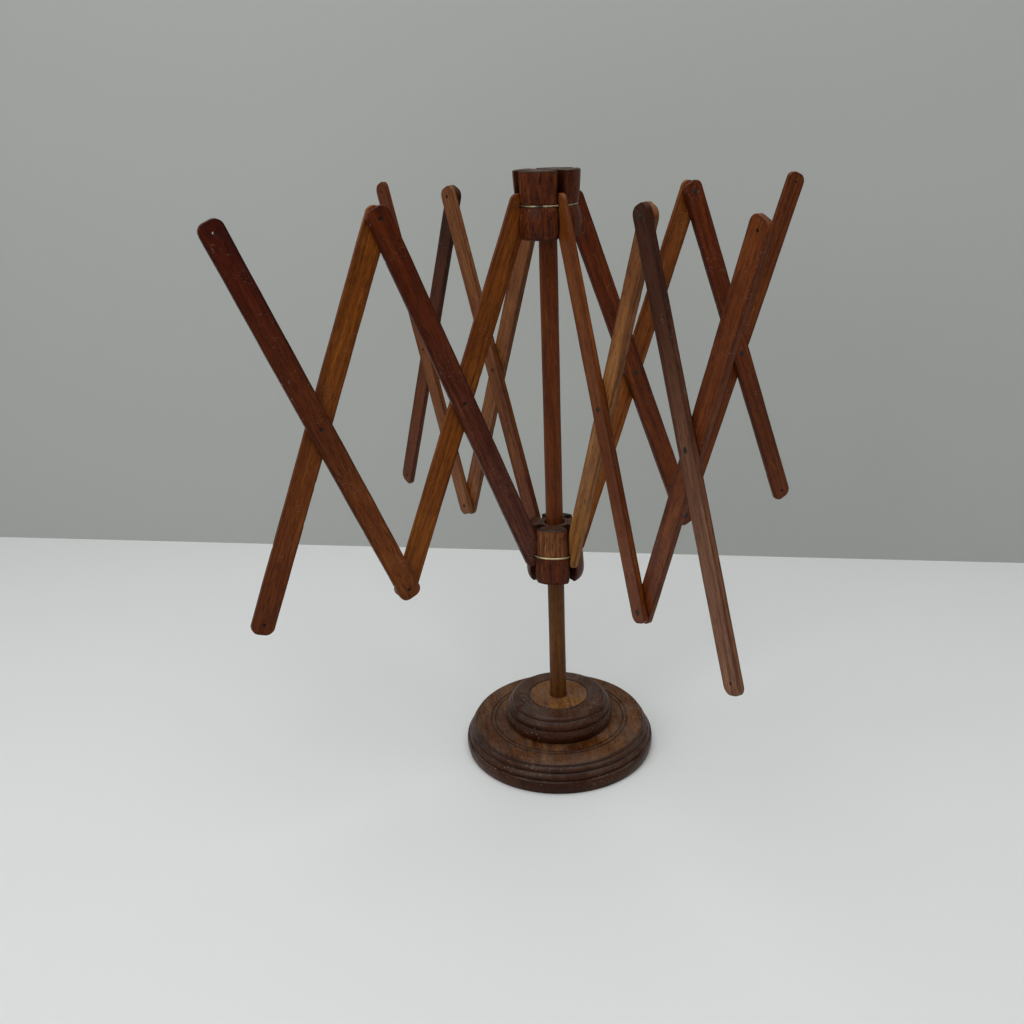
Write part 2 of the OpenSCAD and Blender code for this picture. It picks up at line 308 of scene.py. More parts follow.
class Graph:
    """Adds nodes to a tree and links them, a call for each node."""

    def __init__(self, tree: bpy.types.NodeTree) -> None:
        """Starts on a tree."""
        self.tree = tree

    def node(self, kind: str, inputs: dict[Any, Any] | None = None, **settings: Any) -> bpy.types.Node:
        """Adds a node.

        Args:
            kind: the node's type, without its ShaderNode prefix.
            inputs: values or sockets by input name or number.
            settings: the node's own properties.

        Returns:
            The node.
        """
        made = self.tree.nodes.new("ShaderNode" + kind)
        for key, value in settings.items():
            setattr(made, key, value)
        for key, value in (inputs or {}).items():
            if isinstance(value, bpy.types.NodeSocket):
                self.tree.links.new(value, made.inputs[key])
            else:
                made.inputs[key].default_value = value
        return made

    def attribute(self, name: str, output: str = "Fac") -> bpy.types.NodeSocket:
        """Reads one of the values that a skin's points carry."""
        return self.node("Attribute", attribute_name=name).outputs[output]

    def feed(self, target: bpy.types.Node, sockets: dict[str, bpy.types.NodeSocket]) -> None:
        """Links each socket to the target's input of that name."""
        for name, socket in sockets.items():
            self.tree.links.new(socket, target.inputs[name])

    def tint(self, colour: Any, by: Any) -> bpy.types.NodeSocket:
        """A colour multiplied by another."""
        return self.blend(1.0, colour, by, "MULTIPLY")

    def math(self, operation: str, first: Any, second: Any = 0.0) -> bpy.types.NodeSocket:
        """Arithmetic on two numbers."""
        return self.node("Math", {0: first, 1: second}, operation=operation).outputs[0]

    def product(self, *factors: Any) -> bpy.types.NodeSocket:
        """All the factors multiplied together."""
        result = factors[0]
        for factor in factors[1:]:
            result = self.math("MULTIPLY", result, factor)
        return result

    def stretch(self, vector: Any, by: Colour) -> bpy.types.NodeSocket:
        """A vector with each part multiplied."""
        return self.node("VectorMath", {0: vector, 1: by}, operation="MULTIPLY").outputs[0]

    def offset(self, vector: Any, by: Any) -> bpy.types.NodeSocket:
        """A vector with another added."""
        return self.node("VectorMath", {0: vector, 1: by}, operation="ADD").outputs[0]

    def noise(self, vector: Any, scale: float, detail: float = 2.0, rough: float = 0.5) -> bpy.types.Node:
        """Smooth noise."""
        inputs = {"Vector": vector, "Scale": scale, "Detail": detail, "Roughness": rough}
        return self.node("TexNoise", inputs)

    def mask(self, value: Any, low: float, high: float) -> bpy.types.NodeSocket:
        """A smooth step from 0 at the low value to 1 at the high one."""
        inputs = {0: value, 1: low, 2: high}
        return self.node("MapRange", inputs, interpolation_type="SMOOTHSTEP").outputs[0]

    def between(self, share: Any, low: float, high: float) -> bpy.types.NodeSocket:
        """A number between two, by share."""
        return self.node("MapRange", {0: share, 3: low, 4: high}).outputs[0]

    def blend(self, share: Any, first: Any, second: Any, kind: str = "MIX") -> bpy.types.NodeSocket:
        """Two colours mixed by share."""
        first, second = (
            (*value, 1.0) if isinstance(value, tuple) and len(value) == 3 else value
            for value in (first, second)
        )
        made = self.node("Mix", data_type="RGBA", blend_type=kind)
        for key, value in ((0, share), (6, first), (7, second)):
            if isinstance(value, bpy.types.NodeSocket):
                self.tree.links.new(value, made.inputs[key])
            else:
                made.inputs[key].default_value = value
        return made.outputs[2]

    def effect(self, group: bpy.types.NodeTree, **inputs: Any) -> bpy.types.Node:
        """Places an effect group with its own values."""
        made = self.node("Group", node_tree=group)
        for key, value in inputs.items():
            socket = made.inputs[key.replace("_", " ").capitalize()]
            if isinstance(value, bpy.types.NodeSocket):
                self.tree.links.new(value, socket)
            else:
                socket.default_value = value
        return made


def effect_group(name: str, inputs: dict[str, str], outputs: Iterable[str]) -> tuple[Graph, Any, Any]:
    """Starts an effect as a node group.

    Args:
        name: the group's name.
        inputs: kind of each input by name, Float or Vector.
        outputs: names of the outputs, all numbers.

    Returns:
        Its graph, and its input and output nodes.
    """
    tree = bpy.data.node_groups.new(name, "ShaderNodeTree")
    for key, kind in inputs.items():
        tree.interface.new_socket(name=key, in_out="INPUT", socket_type="NodeSocket" + kind)
    for key in outputs:
        tree.interface.new_socket(name=key, in_out="OUTPUT", socket_type="NodeSocketFloat")
    return Graph(tree), tree.nodes.new("NodeGroupInput"), tree.nodes.new("NodeGroupOutput")


def faded(first: Stain, second: Stain, share: Array) -> Array:
    """A stain that changes evenly into another as the share goes from 0 to 1."""
    return np.array(first.value) * (1 - share) + np.array(second.value) * share


@cache
def open_grain() -> bpy.types.NodeTree:
    """Grain of an open-pored board, whose fibres run along the third coordinate.

    Returns:
        A group with these outputs: streak, broad bands of darker wood; figure, wandering golden
        patches; pores, short dark dashes; fibre, hair-fine lines.
    """
    graph, given, made = effect_group(
        "open grain", {"Place": "Vector", "Pores": "Float"}, ("Streak", "Figure", "Pores", "Fibre")
    )
    place = given.outputs["Place"]
    drift = graph.noise(graph.stretch(place, (1.0, 1.0, 0.25)), 22.0, 3.0)
    sway = graph.stretch(drift.outputs["Color"], (0.012, 0.012, 0.0))
    wandering = graph.offset(place, sway)
    bands = graph.noise(graph.stretch(wandering, (260.0, 260.0, 5.0)), 1.0, 3.0, 0.6)
    streak = graph.mask(bands.outputs[0], 0.42, 0.66)
    patches = graph.noise(graph.stretch(wandering, (240.0, 240.0, 14.0)), 1.0, 3.0, 0.6)
    figure = graph.mask(patches.outputs[0], 0.5, 0.72)
    dashes = graph.noise(graph.stretch(place, (1300.0, 1300.0, 110.0)), 1.0, 1.0, 0.4)
    dense = graph.between(bands.outputs[0], 0.6, 0.46)
    depth = graph.math("SUBTRACT", dashes.outputs[0], dense)
    pores = graph.product(graph.mask(depth, 0.0, 0.12), given.outputs["Pores"])
    fibre = graph.noise(graph.stretch(place, (2600.0, 2600.0, 60.0)), 1.0, 2.0, 0.6).outputs[0]
    graph.feed(made, {"Streak": streak, "Figure": figure, "Pores": pores, "Fibre": fibre})
    return graph.tree


@cache
def edge_wear_and_shade() -> bpy.types.NodeTree:
    """Wear and painted shade on an arris.

    Returns:
        A group with these outputs: buildup_and_shade, a darkening beside the arris, partly varnish and
        dirt gathered there and partly painted shade on the edge faces; bare, broken stretches of the
        arris itself that are rubbed pale.
    """
    graph, given, made = effect_group(
        "edge wear and shade", {"Place": "Vector", "Arris": "Float", "Amount": "Float"}, ("Buildup and shade", "Bare")
    )
    place, arris = given.outputs["Place"], given.outputs["Arris"]
    broken = graph.noise(graph.stretch(place, (1.0, 1.0, 0.35)), 260.0, 3.0, 0.65)
    rubbed = graph.mask(broken.outputs[0], 0.52, 0.66)
    sharp = graph.mask(arris, 0.72, 1.0)
    bare = graph.product(rubbed, sharp, given.outputs["Amount"])
    soft = graph.noise(place, 90.0, 2.0)
    # Darkening beside the arris: partly buildup, partly painted shade.
    buildup_and_shade = graph.product(graph.mask(arris, 0.0, 0.9), graph.between(soft.outputs[0], 0.5, 1.2))
    graph.feed(made, {"Buildup and shade": buildup_and_shade, "Bare": bare})
    return graph.tree


@cache
def dust_and_sheen() -> bpy.types.NodeTree:
    """Dust and old polish, and a painted sheen on faces that look up.

    Returns:
        A group with these outputs: film_and_sheen, a pale bloom on faces that look up, partly settled
        dust and partly painted sheen; specks, small pale bits stuck in the finish.
    """
    graph, given, made = effect_group(
        "settled dust and sheen", {"Place": "Vector", "Amount": "Float"}, ("Film and sheen", "Specks")
    )
    place, amount = given.outputs["Place"], given.outputs["Amount"]
    normal = graph.node("NewGeometry").outputs["Normal"]
    up = graph.node("SeparateXYZ", {0: normal}).outputs[2]
    clouds = graph.noise(place, 45.0, 4.0, 0.6)
    # Painted sheen and dust: faces that look up are paled.
    facing, drifted = graph.mask(up, 0.1, 0.95), graph.mask(clouds.outputs[0], 0.35, 0.7)
    film_and_sheen = graph.product(facing, drifted, amount)
    bits = graph.mask(graph.noise(place, 620.0, 1.0, 0.4).outputs[0], 0.68, 0.74)
    patch = graph.mask(graph.noise(place, 28.0, 2.0).outputs[0], 0.5, 0.62)
    graph.feed(made, {"Film and sheen": film_and_sheen, "Specks": graph.product(bits, patch, amount)})
    return graph.tree


@cache
def handling_marks() -> bpy.types.NodeTree:
    """Marks of handling.

    Returns:
        A group with these outputs: scratches, thin pale lines across the grain; dents, soft
        hollows for the bump; cloud, slow changes of gloss.
    """
    graph, given, made = effect_group(
        "handling marks", {"Place": "Vector", "Amount": "Float"}, ("Scratches", "Dents", "Cloud")
    )
    place = given.outputs["Place"]
    lines: list[bpy.types.NodeSocket] = []
    for degrees, seed in ((62.0, 3.0), (-48.0, 11.0), (8.0, 23.0)):
        turn = math.radians(degrees)
        mapping = {"Vector": place, "Location": (seed, seed, seed), "Rotation": (turn, turn, 0)}
        rotated = graph.node("Mapping", mapping).outputs[0]
        thin = graph.noise(graph.stretch(rotated, (130.0, 2400.0, 2400.0)), 1.0, 0.0)
        lines.append(graph.mask(thin.outputs[0], 0.79, 0.83))
    crossed = graph.math("MAXIMUM", graph.math("MAXIMUM", lines[0], lines[1]), lines[2])
    where = graph.mask(graph.noise(place, 36.0, 2.0).outputs[0], 0.46, 0.6)
    scratches = graph.product(crossed, where, given.outputs["Amount"])
    dents = graph.noise(place, 150.0, 2.0, 0.4).outputs[0]
    cloud = graph.noise(place, 30.0, 3.0, 0.6).outputs[0]
    graph.feed(made, {"Scratches": scratches, "Dents": dents, "Cloud": cloud})
    return graph.tree


def start_material(name: str) -> tuple[bpy.types.Material, Graph, bpy.types.Node]:
    """Makes a material that has nothing but its shader yet.

    Args:
        name: the material's name.

    Returns:
        The material, a graph on its nodes, and the shader.
    """
    material = bpy.data.materials.new(name)
    material.use_nodes = True
    return material, Graph(material.node_tree), material.node_tree.nodes["Principled BSDF"]


@dataclass(frozen=True)
class WoodFinish:
    """Stained and varnished wood.

    Attributes:
        name: the material's name.
        pores: how strongly the open pores show.
        contrast: how far the dark bands go towards black.
        gold: how much golden wood shows through.
        patchy: how unevenly the stain has taken.
        dust: how much dust has settled, which also sets how strong the painted sheen on faces that look up
            is.
        wear: how bare the arrises are.
        marks: how many scratches show.
        gloss: roughness of the varnish, from 0 for glass.
        varnish: weight of the clear coat.
    """

    name: str
    pores: float = 0.8
    contrast: float = 0.6
    gold: float = 0.5
    patchy: float = 0.4
    dust: float = 0.3
    wear: float = 0.5
    marks: float = 0.6
    gloss: float = 0.38
    varnish: float = 0.08

    def material(self) -> bpy.types.Material:
        """The finish as a material, made once and kept.

        Returns:
            A material that reads the attributes that Skin writes.
        """
        if self.name in bpy.data.materials:
            return bpy.data.materials[self.name]
        material, graph, shader = start_material(self.name)
        place = graph.attribute("wood_place", "Vector")
        stain = graph.attribute("stain", "Color")
        arris = graph.attribute("arris")
        recess = graph.attribute("recess")
        grain = graph.effect(open_grain(), place=place, pores=self.pores)
        edges = graph.effect(edge_wear_and_shade(), place=place, arris=arris, amount=self.wear)
        dust = graph.effect(dust_and_sheen(), place=place, amount=self.dust)
        marks = graph.effect(handling_marks(), place=place, amount=self.marks)
        colour = self._wood_colour(graph, place, stain, grain)
        colour = self._surface_colour(graph, colour, edges, dust, marks, recess)
        rough = graph.between(marks.outputs["Cloud"], self.gloss - 0.1, self.gloss + 0.14)
        rough = graph.math("ADD", rough, graph.product(grain.outputs["Pores"], 0.22))
        rough = graph.math("ADD", rough, graph.product(dust.outputs["Film and sheen"], 0.3))
        fibre = graph.product(grain.outputs["Fibre"], 0.35)
        height = graph.math("SUBTRACT", fibre, grain.outputs["Pores"])
        height = graph.math("ADD", height, graph.product(marks.outputs["Dents"], 1.2))
        bump = graph.node("Bump", {"Height": height, "Strength": 0.45, "Distance": 0.12 * MM})
        coat = graph.between(marks.outputs["Cloud"], self.varnish * 1.2, self.varnish * 0.6)
        graph.feed(shader, {
            "Base Color": colour, "Roughness": rough, "Normal": bump.outputs[0], "Coat Weight": coat,
        })
        shader.inputs["Coat Roughness"].default_value = 0.28
        shader.inputs["Specular IOR Level"].default_value = 0.08
        return material

    def _wood_colour(self, graph: Graph, place: Any, stain: Any, grain: Any) -> bpy.types.NodeSocket:
        """The uneven stain over the board's bands, golden figure, fibres and pores."""
        taken = graph.mask(graph.noise(place, 15.0, 3.0, 0.6).outputs[0], 0.44, 0.62)
        deeper = graph.tint(stain, (0.6, 0.46, 0.4))
        stain = graph.blend(graph.product(taken, self.patchy), stain, deeper)
        dark = graph.tint(stain, (0.36, 0.3, 0.3))
        colour = graph.blend(graph.product(grain.outputs["Streak"], self.contrast), stain, dark)
        golden = graph.tint(stain, (1.75, 2.1, 2.0))
        colour = graph.blend(graph.product(grain.outputs["Figure"], self.gold), colour, golden)
        hair = graph.between(grain.outputs["Fibre"], 0.5, 1.5)
        shade = graph.node("CombineColor", {0: hair, 1: hair, 2: hair}).outputs[0]
        colour = graph.tint(colour, shade)
        deep = graph.tint(stain, (0.22, 0.16, 0.15))
        return graph.blend(grain.outputs["Pores"], colour, deep)

    @staticmethod
    def _surface_colour(graph: Graph, colour: Any, edges: Any, dust: Any, marks: Any, recess: Any) -> Any:
        """What is laid over the wood: painted shade in recesses, edges darkened by buildup and painted
        shade, bare arrises, dust with a painted sheen, and scratches.
        """
        edge_buildup_and_shade = graph.tint(colour, (0.3, 0.24, 0.24))
        # Painted shade and buildup: the edges are darkened, partly for varnish and dirt, partly as painted
        # shade.
        colour = graph.blend(graph.product(edges.outputs["Buildup and shade"], 0.85), colour, edge_buildup_and_shade)
        for share, strength, cover in (
            # painted shade in recesses
            (recess, 0.85, RECESS_SHADE),
            (edges.outputs["Bare"], 0.75, BARE_WOOD),
            # dust and painted sheen on faces that look up
            (dust.outputs["Film and sheen"], 0.35, DUST_FILM_AND_SHEEN),
            (dust.outputs["Specks"], 0.9, DUST_SPECK),
            (marks.outputs["Scratches"], 0.75, WOOD_SCRATCH),
        ):
            colour = graph.blend(graph.product(share, strength), colour, cover)
        return colour


@dataclass(frozen=True)
class MetalFinish:
    """Old bright or darkened metal.

    Attributes:
        name: the material's name.
        clean: linear colour of the metal.
        tarnish: linear colour of what covers it.
        cover: how much of it is covered.
        gloss: roughness of the clean metal.
    """

    name: str
    clean: Colour
    tarnish: Colour
    cover: float = 0.5
    gloss: float = 0.32

    def material(self) -> bpy.types.Material:
        """The finish as a material, made once and kept."""
        if self.name in bpy.data.materials:
            return bpy.data.materials[self.name]
        material, graph, shader = start_material(self.name)
        place = graph.attribute("wood_place", "Vector")
        recess = graph.attribute("recess")
        marks = graph.effect(handling_marks(), place=place, amount=0.6)
        spots = graph.noise(place, 120.0, 4.0, 0.65)
        covered = graph.mask(spots.outputs[0], 0.62 - 0.3 * self.cover, 0.72 - 0.2 * self.cover)
        covered = graph.math("MAXIMUM", covered, recess)
        colour = graph.blend(covered, self.clean, self.tarnish)
        colour = graph.blend(graph.product(marks.outputs["Scratches"], 0.5), colour, METAL_SCRATCH)
        metallic = graph.between(covered, 1.0, 0.2)
        rough = graph.between(covered, self.gloss, 0.62)
        bump = graph.node("Bump", {"Height": spots.outputs[0], "Strength": 0.25, "Distance": 0.06 * MM})
        graph.feed(shader, {
            "Base Color": colour, "Metallic": metallic, "Roughness": rough, "Normal": bump.outputs[0],
        })
        return material


BASE_WOOD = WoodFinish(
    "base wood", pores=0.8, contrast=0.6, gold=0.35, patchy=0.85,
    dust=0.4, wear=0.2, marks=1.0, gloss=0.32, varnish=0.14,
)
POLE_WOOD = WoodFinish("pole wood", pores=0.4, contrast=0.5, gold=0.4, dust=0.1, wear=0.2, marks=0.5)
HUB_WOOD = WoodFinish("hub wood", pores=0.9, contrast=0.75, gold=0.8, dust=0.2, marks=0.5, varnish=0.1)
DOWN_SLAT_WOOD = WoodFinish("down slat wood", pores=0.5, contrast=0.6, gold=0.5, dust=0.15)
UP_SLAT_WOOD = WoodFinish("up slat wood", pores=0.55, contrast=0.55, gold=0.55, dust=0.15)
RING_WIRE = MetalFinish("ring wire", linear(186, 170, 132), linear(60, 46, 32), cover=0.35, gloss=0.36)
PIN_IRON = MetalFinish("pin iron", linear(64, 54, 46), linear(18, 12, 10), cover=0.9, gloss=0.6)
SCREW_STEEL = MetalFinish("screw steel", linear(168, 164, 158), linear(70, 58, 48), cover=0.5, gloss=0.35)


# ---------------------------------------------------------------- pieces


Finish = WoodFinish | MetalFinish


def finish_piece(piece: bpy.types.Object, node: str, body: str, slot: str, finish: Finish) -> None:
    """Dresses a piece, sets it on its body and stands it in for its CAD node.

    Args:
        piece: the new object.
        node: the CAD node that it stands for.
        body: the CAD body that it moves with.
        slot: the record's material slot.
        finish: what it is dressed in.
    """
    piece.data.materials.append(finish.material())
    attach(piece, body)
    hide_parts(node)
    log.info("%s: %d faces, rides on %s, finish %s", piece.name, len(piece.data.polygons), body, slot)


def wood_shift(number: int) -> Array:
    """Where a piece was cut from the board: a repeatable offset of the wood's coordinates."""
    return np.random.default_rng(number).uniform(-1.0, 1.0, 3)


class Run(Enum):
    """Which way a slat runs as the arm leaves the pole. The value is its sign in the arm's frame."""

    DOWN = -1
    UP = 1


@dataclass
class Slat:
    """A flat slat with rounded ends, eased arrises and three drilled holes.

    Attributes:
        node: the CAD node that it stands for.
        axes: middle hole; across the slat, through it and up along it.
        run: whether it leaves the pole downwards or upwards.
        holes: radii of the top, middle and low holes.
        top: stain at its top end.
        foot: stain at its low end.
        seed: number that its wood and its dents follow from.
        pitch: distance between two holes.
        corner: radius of the rounded corners of an end.
        ease: radius of the eased arrises.
        chamfer: chamfer at a hole's mouths.
        spans: faces across the slat.
        step: length of a face along the slat.
        nicks: how many dents its arrises have.
        half: half its width, half its thickness and half its length.
    """

    node: str
    axes: Axes
    run: Run
    holes: Triple
    top: Stain
    foot: Stain
    seed: int
    pitch: float
    corner: float = 7.2 * MM
    ease: float = 0.7 * MM
    chamfer: float = 0.4 * MM
    spans: int = 14
    step: float = 1.6 * MM
    nicks: int = 9
    half: Array = field(init=False)

    def __post_init__(self) -> None:
        """Takes the slat's half width, half thickness and half length from its CAD node."""
        low, high = self.axes.reach(self.node)
        self.half = (high - low) / 2

    def piece(self, body: str) -> None:
        """Builds, dresses and mounts the slat."""
        skin = Skin(self.axes, shift=wood_shift(self.seed))
        patch_half = self.half[2] - self.pitch
        for cap, radius in zip((-1, 0, 1), reversed(self.holes)):
            self._patch(skin, cap * self.pitch, radius, cap, patch_half)
        for low in (-self.pitch + patch_half, patch_half):
            self._strip(skin, low, low + self.pitch - 2 * patch_half)
        finish = DOWN_SLAT_WOOD if self.run is Run.DOWN else UP_SLAT_WOOD
        slot = "down_slat_wood" if self.run is Run.DOWN else "up_slat_wood"
        finish_piece(skin.build(self.node + "_board"), self.node, body, slot, finish)

    def _inset(self) -> Array:
        """Half width and half length of the flat face, inside the eased arris."""
        return np.array([self.half[0], self.half[2]]) - self.ease

    def _rounded(self, flat: Array) -> tuple[Array, Array]:
        """Moves points of the face's boundary onto its rounded outline.

        A point keeps its place within the corner centres and lies a corner radius beyond them.

        Args:
            flat: a row of across and along for each point of the squared boundary.

        Returns:
            The points on the outline, and the outward direction at each.
        """
        radius = self.corner - self.ease
        centres = self._inset() - radius
        held = np.clip(flat, -centres, centres)
        beyond = flat - held
        out = beyond / np.maximum(np.linalg.norm(beyond, axis=1, keepdims=True), 1e-9)
        ends = np.abs(flat[:, 1:]) > centres[1]
        return np.where(ends, held + radius * out, flat), out

    def _patch(self, skin: Skin, height: float, radius: float, cap: int, reach: float) -> None:
        """Both faces round a hole, the hole's wall, and the outline beside it.

        The face is rings blended from the hole's circle to the patch's four sides.

        Args:
            skin: what it is added to.
            height: the hole's place along the slat.
            radius: the hole's radius.
            cap: 1 at the top end, -1 at the low end, 0 in the middle.
            reach: how far the patch goes either way along the slat.
        """
        wide, long = self._inset()
        low = -long if cap < 0 else height - reach
        high = long if cap > 0 else height + reach
        even = np.linspace(0, 1, self.spans, endpoint=False)[:, None]
        corners = np.array([[-wide, low], [wide, low], [wide, high], [-wide, high], [-wide, low]])
        border = np.concatenate([a + (b - a) * even for a, b in zip(corners[:-1], corners[1:])])
        if cap:
            border = self._rounded(border)[0]
        middle = np.array([0.0, height])
        spokes = border - middle
        rim = spokes / np.linalg.norm(spokes, axis=1, keepdims=True)
        share = np.array([0.0, 0.06, 0.16, 0.34, 0.62, 1.0])[:, None, None]
        rings = middle + rim * (radius + self.chamfer) * (1 - share) + spokes * share
        self._both_faces(skin, rings, closed=True)
        self._hole(skin, middle + rim * radius, middle + rim * (radius + self.chamfer))
        sides = np.split(border, 4)
        first = np.concatenate([border, border[:1]])
        count = self.spans
        if cap > 0:
            self._outline(skin, first[count:])
        elif cap < 0:
            self._outline(skin, np.concatenate([sides[3], border[: 2 * count + 1]]))
        else:
            self._outline(skin, first[count : 2 * count + 1])
            self._outline(skin, first[3 * count :])

    def _strip(self, skin: Skin, low: float, high: float) -> None:
        """Both faces and both edges between two patches: an even grid across and along."""
        wide = self._inset()[0]
        across = np.linspace(-wide, wide, self.spans + 1)
        along = np.linspace(low, high, round((high - low) / self.step) + 1)
        self._both_faces(skin, np.stack(np.meshgrid(across, along), -1))
        self._outline(skin, np.stack([np.full_like(along, wide), along], 1))
        self._outline(skin, np.stack([np.full_like(along, -wide), along[::-1]], 1))

    def _both_faces(self, skin: Skin, flat: Array, closed: bool = False) -> None:
        """Adds the same grid of across and along on the front and on the back."""
        for side in (-1, 1):
            depth = np.full(flat.shape[:2] + (1,), side * self.half[1])
            place = np.concatenate([flat[..., :1], depth, flat[..., 1:]], -1)
            self._add(skin, place, closed=closed)

    def _hole(self, skin: Skin, wall: Array, mouth: Array) -> None:
        """The hole's wall, with a small chamfer at each mouth; its recess value paints the wall dark as
        shade.
        """
        thick = self.half[1]
        deep = thick - self.chamfer
        levels = [(mouth, thick), (wall, deep), (wall, -deep), (mouth, -thick)]
        rows = [np.insert(ring, 1, depth, axis=1) for ring, depth in levels]
        # Painted shade: the wall is darkened by its recess value.
        self._add(skin, np.stack(rows), closed=True, recess=0.9)

    def _outline(self, skin: Skin, flat: Array) -> None:
        """Carries the edge's section, a flat between quarter rounds, along a stretch of the outline."""
        points, out = self._rounded(flat)
        quarter = np.radians(np.linspace(0, 90, 5))
        depth = self.half[1] - self.ease + self.ease * np.cos(quarter)
        stand = self.ease * np.sin(quarter)
        depth = np.concatenate([depth, [0.0], -depth[::-1]])
        stand = np.concatenate([stand, [self.ease], stand[::-1]])
        place = points[None] + stand[:, None, None] * out[None]
        levels = np.repeat(depth[:, None, None], len(points), 1)
        self._add(skin, np.concatenate([place[..., :1], levels, place[..., 1:]], -1))

    def _add(self, skin: Skin, points: Array, closed: bool = False, recess: float = 0.0) -> None:
        """Adds a grid after wearing it, with its stain and nearness to the arris."""
        gap = self.half[[0, 2]] - np.abs(points[..., [0, 2]])
        from_edge = np.minimum(np.minimum(gap[..., 0], gap[..., 1]), 9 * MM)
        depth_gap = self.half[1] - np.abs(points[..., 1])
        # Nearness to the arris: the finish darkens it, partly for buildup and partly as painted shade on
        # the edge faces.
        arris = np.exp(-(from_edge + depth_gap) / (1.1 * MM))
        worn, nicked = self._worn(points)
        share = points[..., 2] / (2 * self.half[2]) + 0.5
        share = (share * share * (3 - 2 * share))[..., None]
        stain = faded(self.foot, self.top, share)
        skin.grid(worn, closed, np.maximum(arris, nicked), recess, stain)

    @staticmethod
    def _waver(along: Array, spans: Triple, phase: Array) -> Array:
        """A sum of three sines, one for each wavelength and starting angle."""
        return sum(np.sin(along * 2 * np.pi / span + start) for span, start in zip(spans, phase))

    def _worn(self, points: Array) -> tuple[Array, Array]:
        """Hand-made unevenness: the edges wander by a slow sum of sines, and bumps have left dents.

        A dent is a bell curve along the slat that pushes one arris inwards.

        Args:
            points: local points.

        Returns:
            The moved points, and how dented each is, from 0 to 1.
        """
        draw = np.random.default_rng(self.seed + 100)
        phase = draw.uniform(0, 2 * np.pi, 6)
        along = points[..., 2]
        moved = points.copy()
        moved[..., 0] *= 1 + 0.006 * self._waver(along, (0.31, 0.13, 0.047), phase[:3])
        moved[..., 1] *= 0.985 + 0.005 * self._waver(along, (0.23, 0.09, 0.06), phase[3:])
        near_edge = np.clip(1 - (self.half[0] - np.abs(points[..., 0])) / (1.2 * MM), 0, 1)
        dented = np.zeros_like(along)
        for _ in range(self.nicks):
            height, width, depth = draw.uniform((-1, 0.5, 0.3), (1, 2.2, 1.0))
            side, face = draw.choice((-1, 1), 2)
            bell = np.exp(-(((along - height * self.half[2]) / (width * MM)) ** 2))
            here = (points[..., 0] * side > 0) & (points[..., 1] * face > 0)
            dented = np.maximum(dented, bell * depth * near_edge * here)
        moved[..., 0] -= np.sign(points[..., 0]) * dented * 0.45 * MM
        return moved, np.clip(dented * 1.4, 0, 1)


@dataclass
class Pin:
    """A pin through two slats: a domed head on one face and a tail sunk in the other.

    Attributes:
        node: the CAD node that it stands for.
        axes: the joint's place; the third axis runs from the head to the tail.
        radius: radius of the shank.
        head: radius of the head.
        dome: height of the head.
    """

    node: str
    axes: Axes
    radius: float = 1.3 * MM
    head: float = 2.5 * MM
    dome: float = 0.8 * MM

    def piece(self, body: str) -> None:
        """Builds, dresses and mounts the pin: a profile carried round its axis."""
        low, high = self.axes.reach(self.node)
        seat = low[2] + self.dome
        top = oval((0, seat + 0.1 * MM), (self.head, self.dome + 0.1 * MM), 270, 360, 10)
        tail = oval((self.radius - 0.4 * MM, high[2] - 0.4 * MM), (0.4 * MM, 0.4 * MM), 0, 90, 3)
        profile = np.concatenate([top, [[self.head, seat], [self.radius, seat]], tail, [[0, high[2]]]])
        seed = len(self.node) + ord(self.node[-1]) + ord(self.node[0])
        skin = Skin(self.axes, shift=wood_shift(seed))
        sunk = np.where(profile[:, 1:] > seat, 1.0, 0.1)
        skin.grid(turned(profile, full_circle(28)), closed=True, recess=sunk)
        finish_piece(skin.build(self.node + "_rivet"), self.node, body, "pin_iron", PIN_IRON)


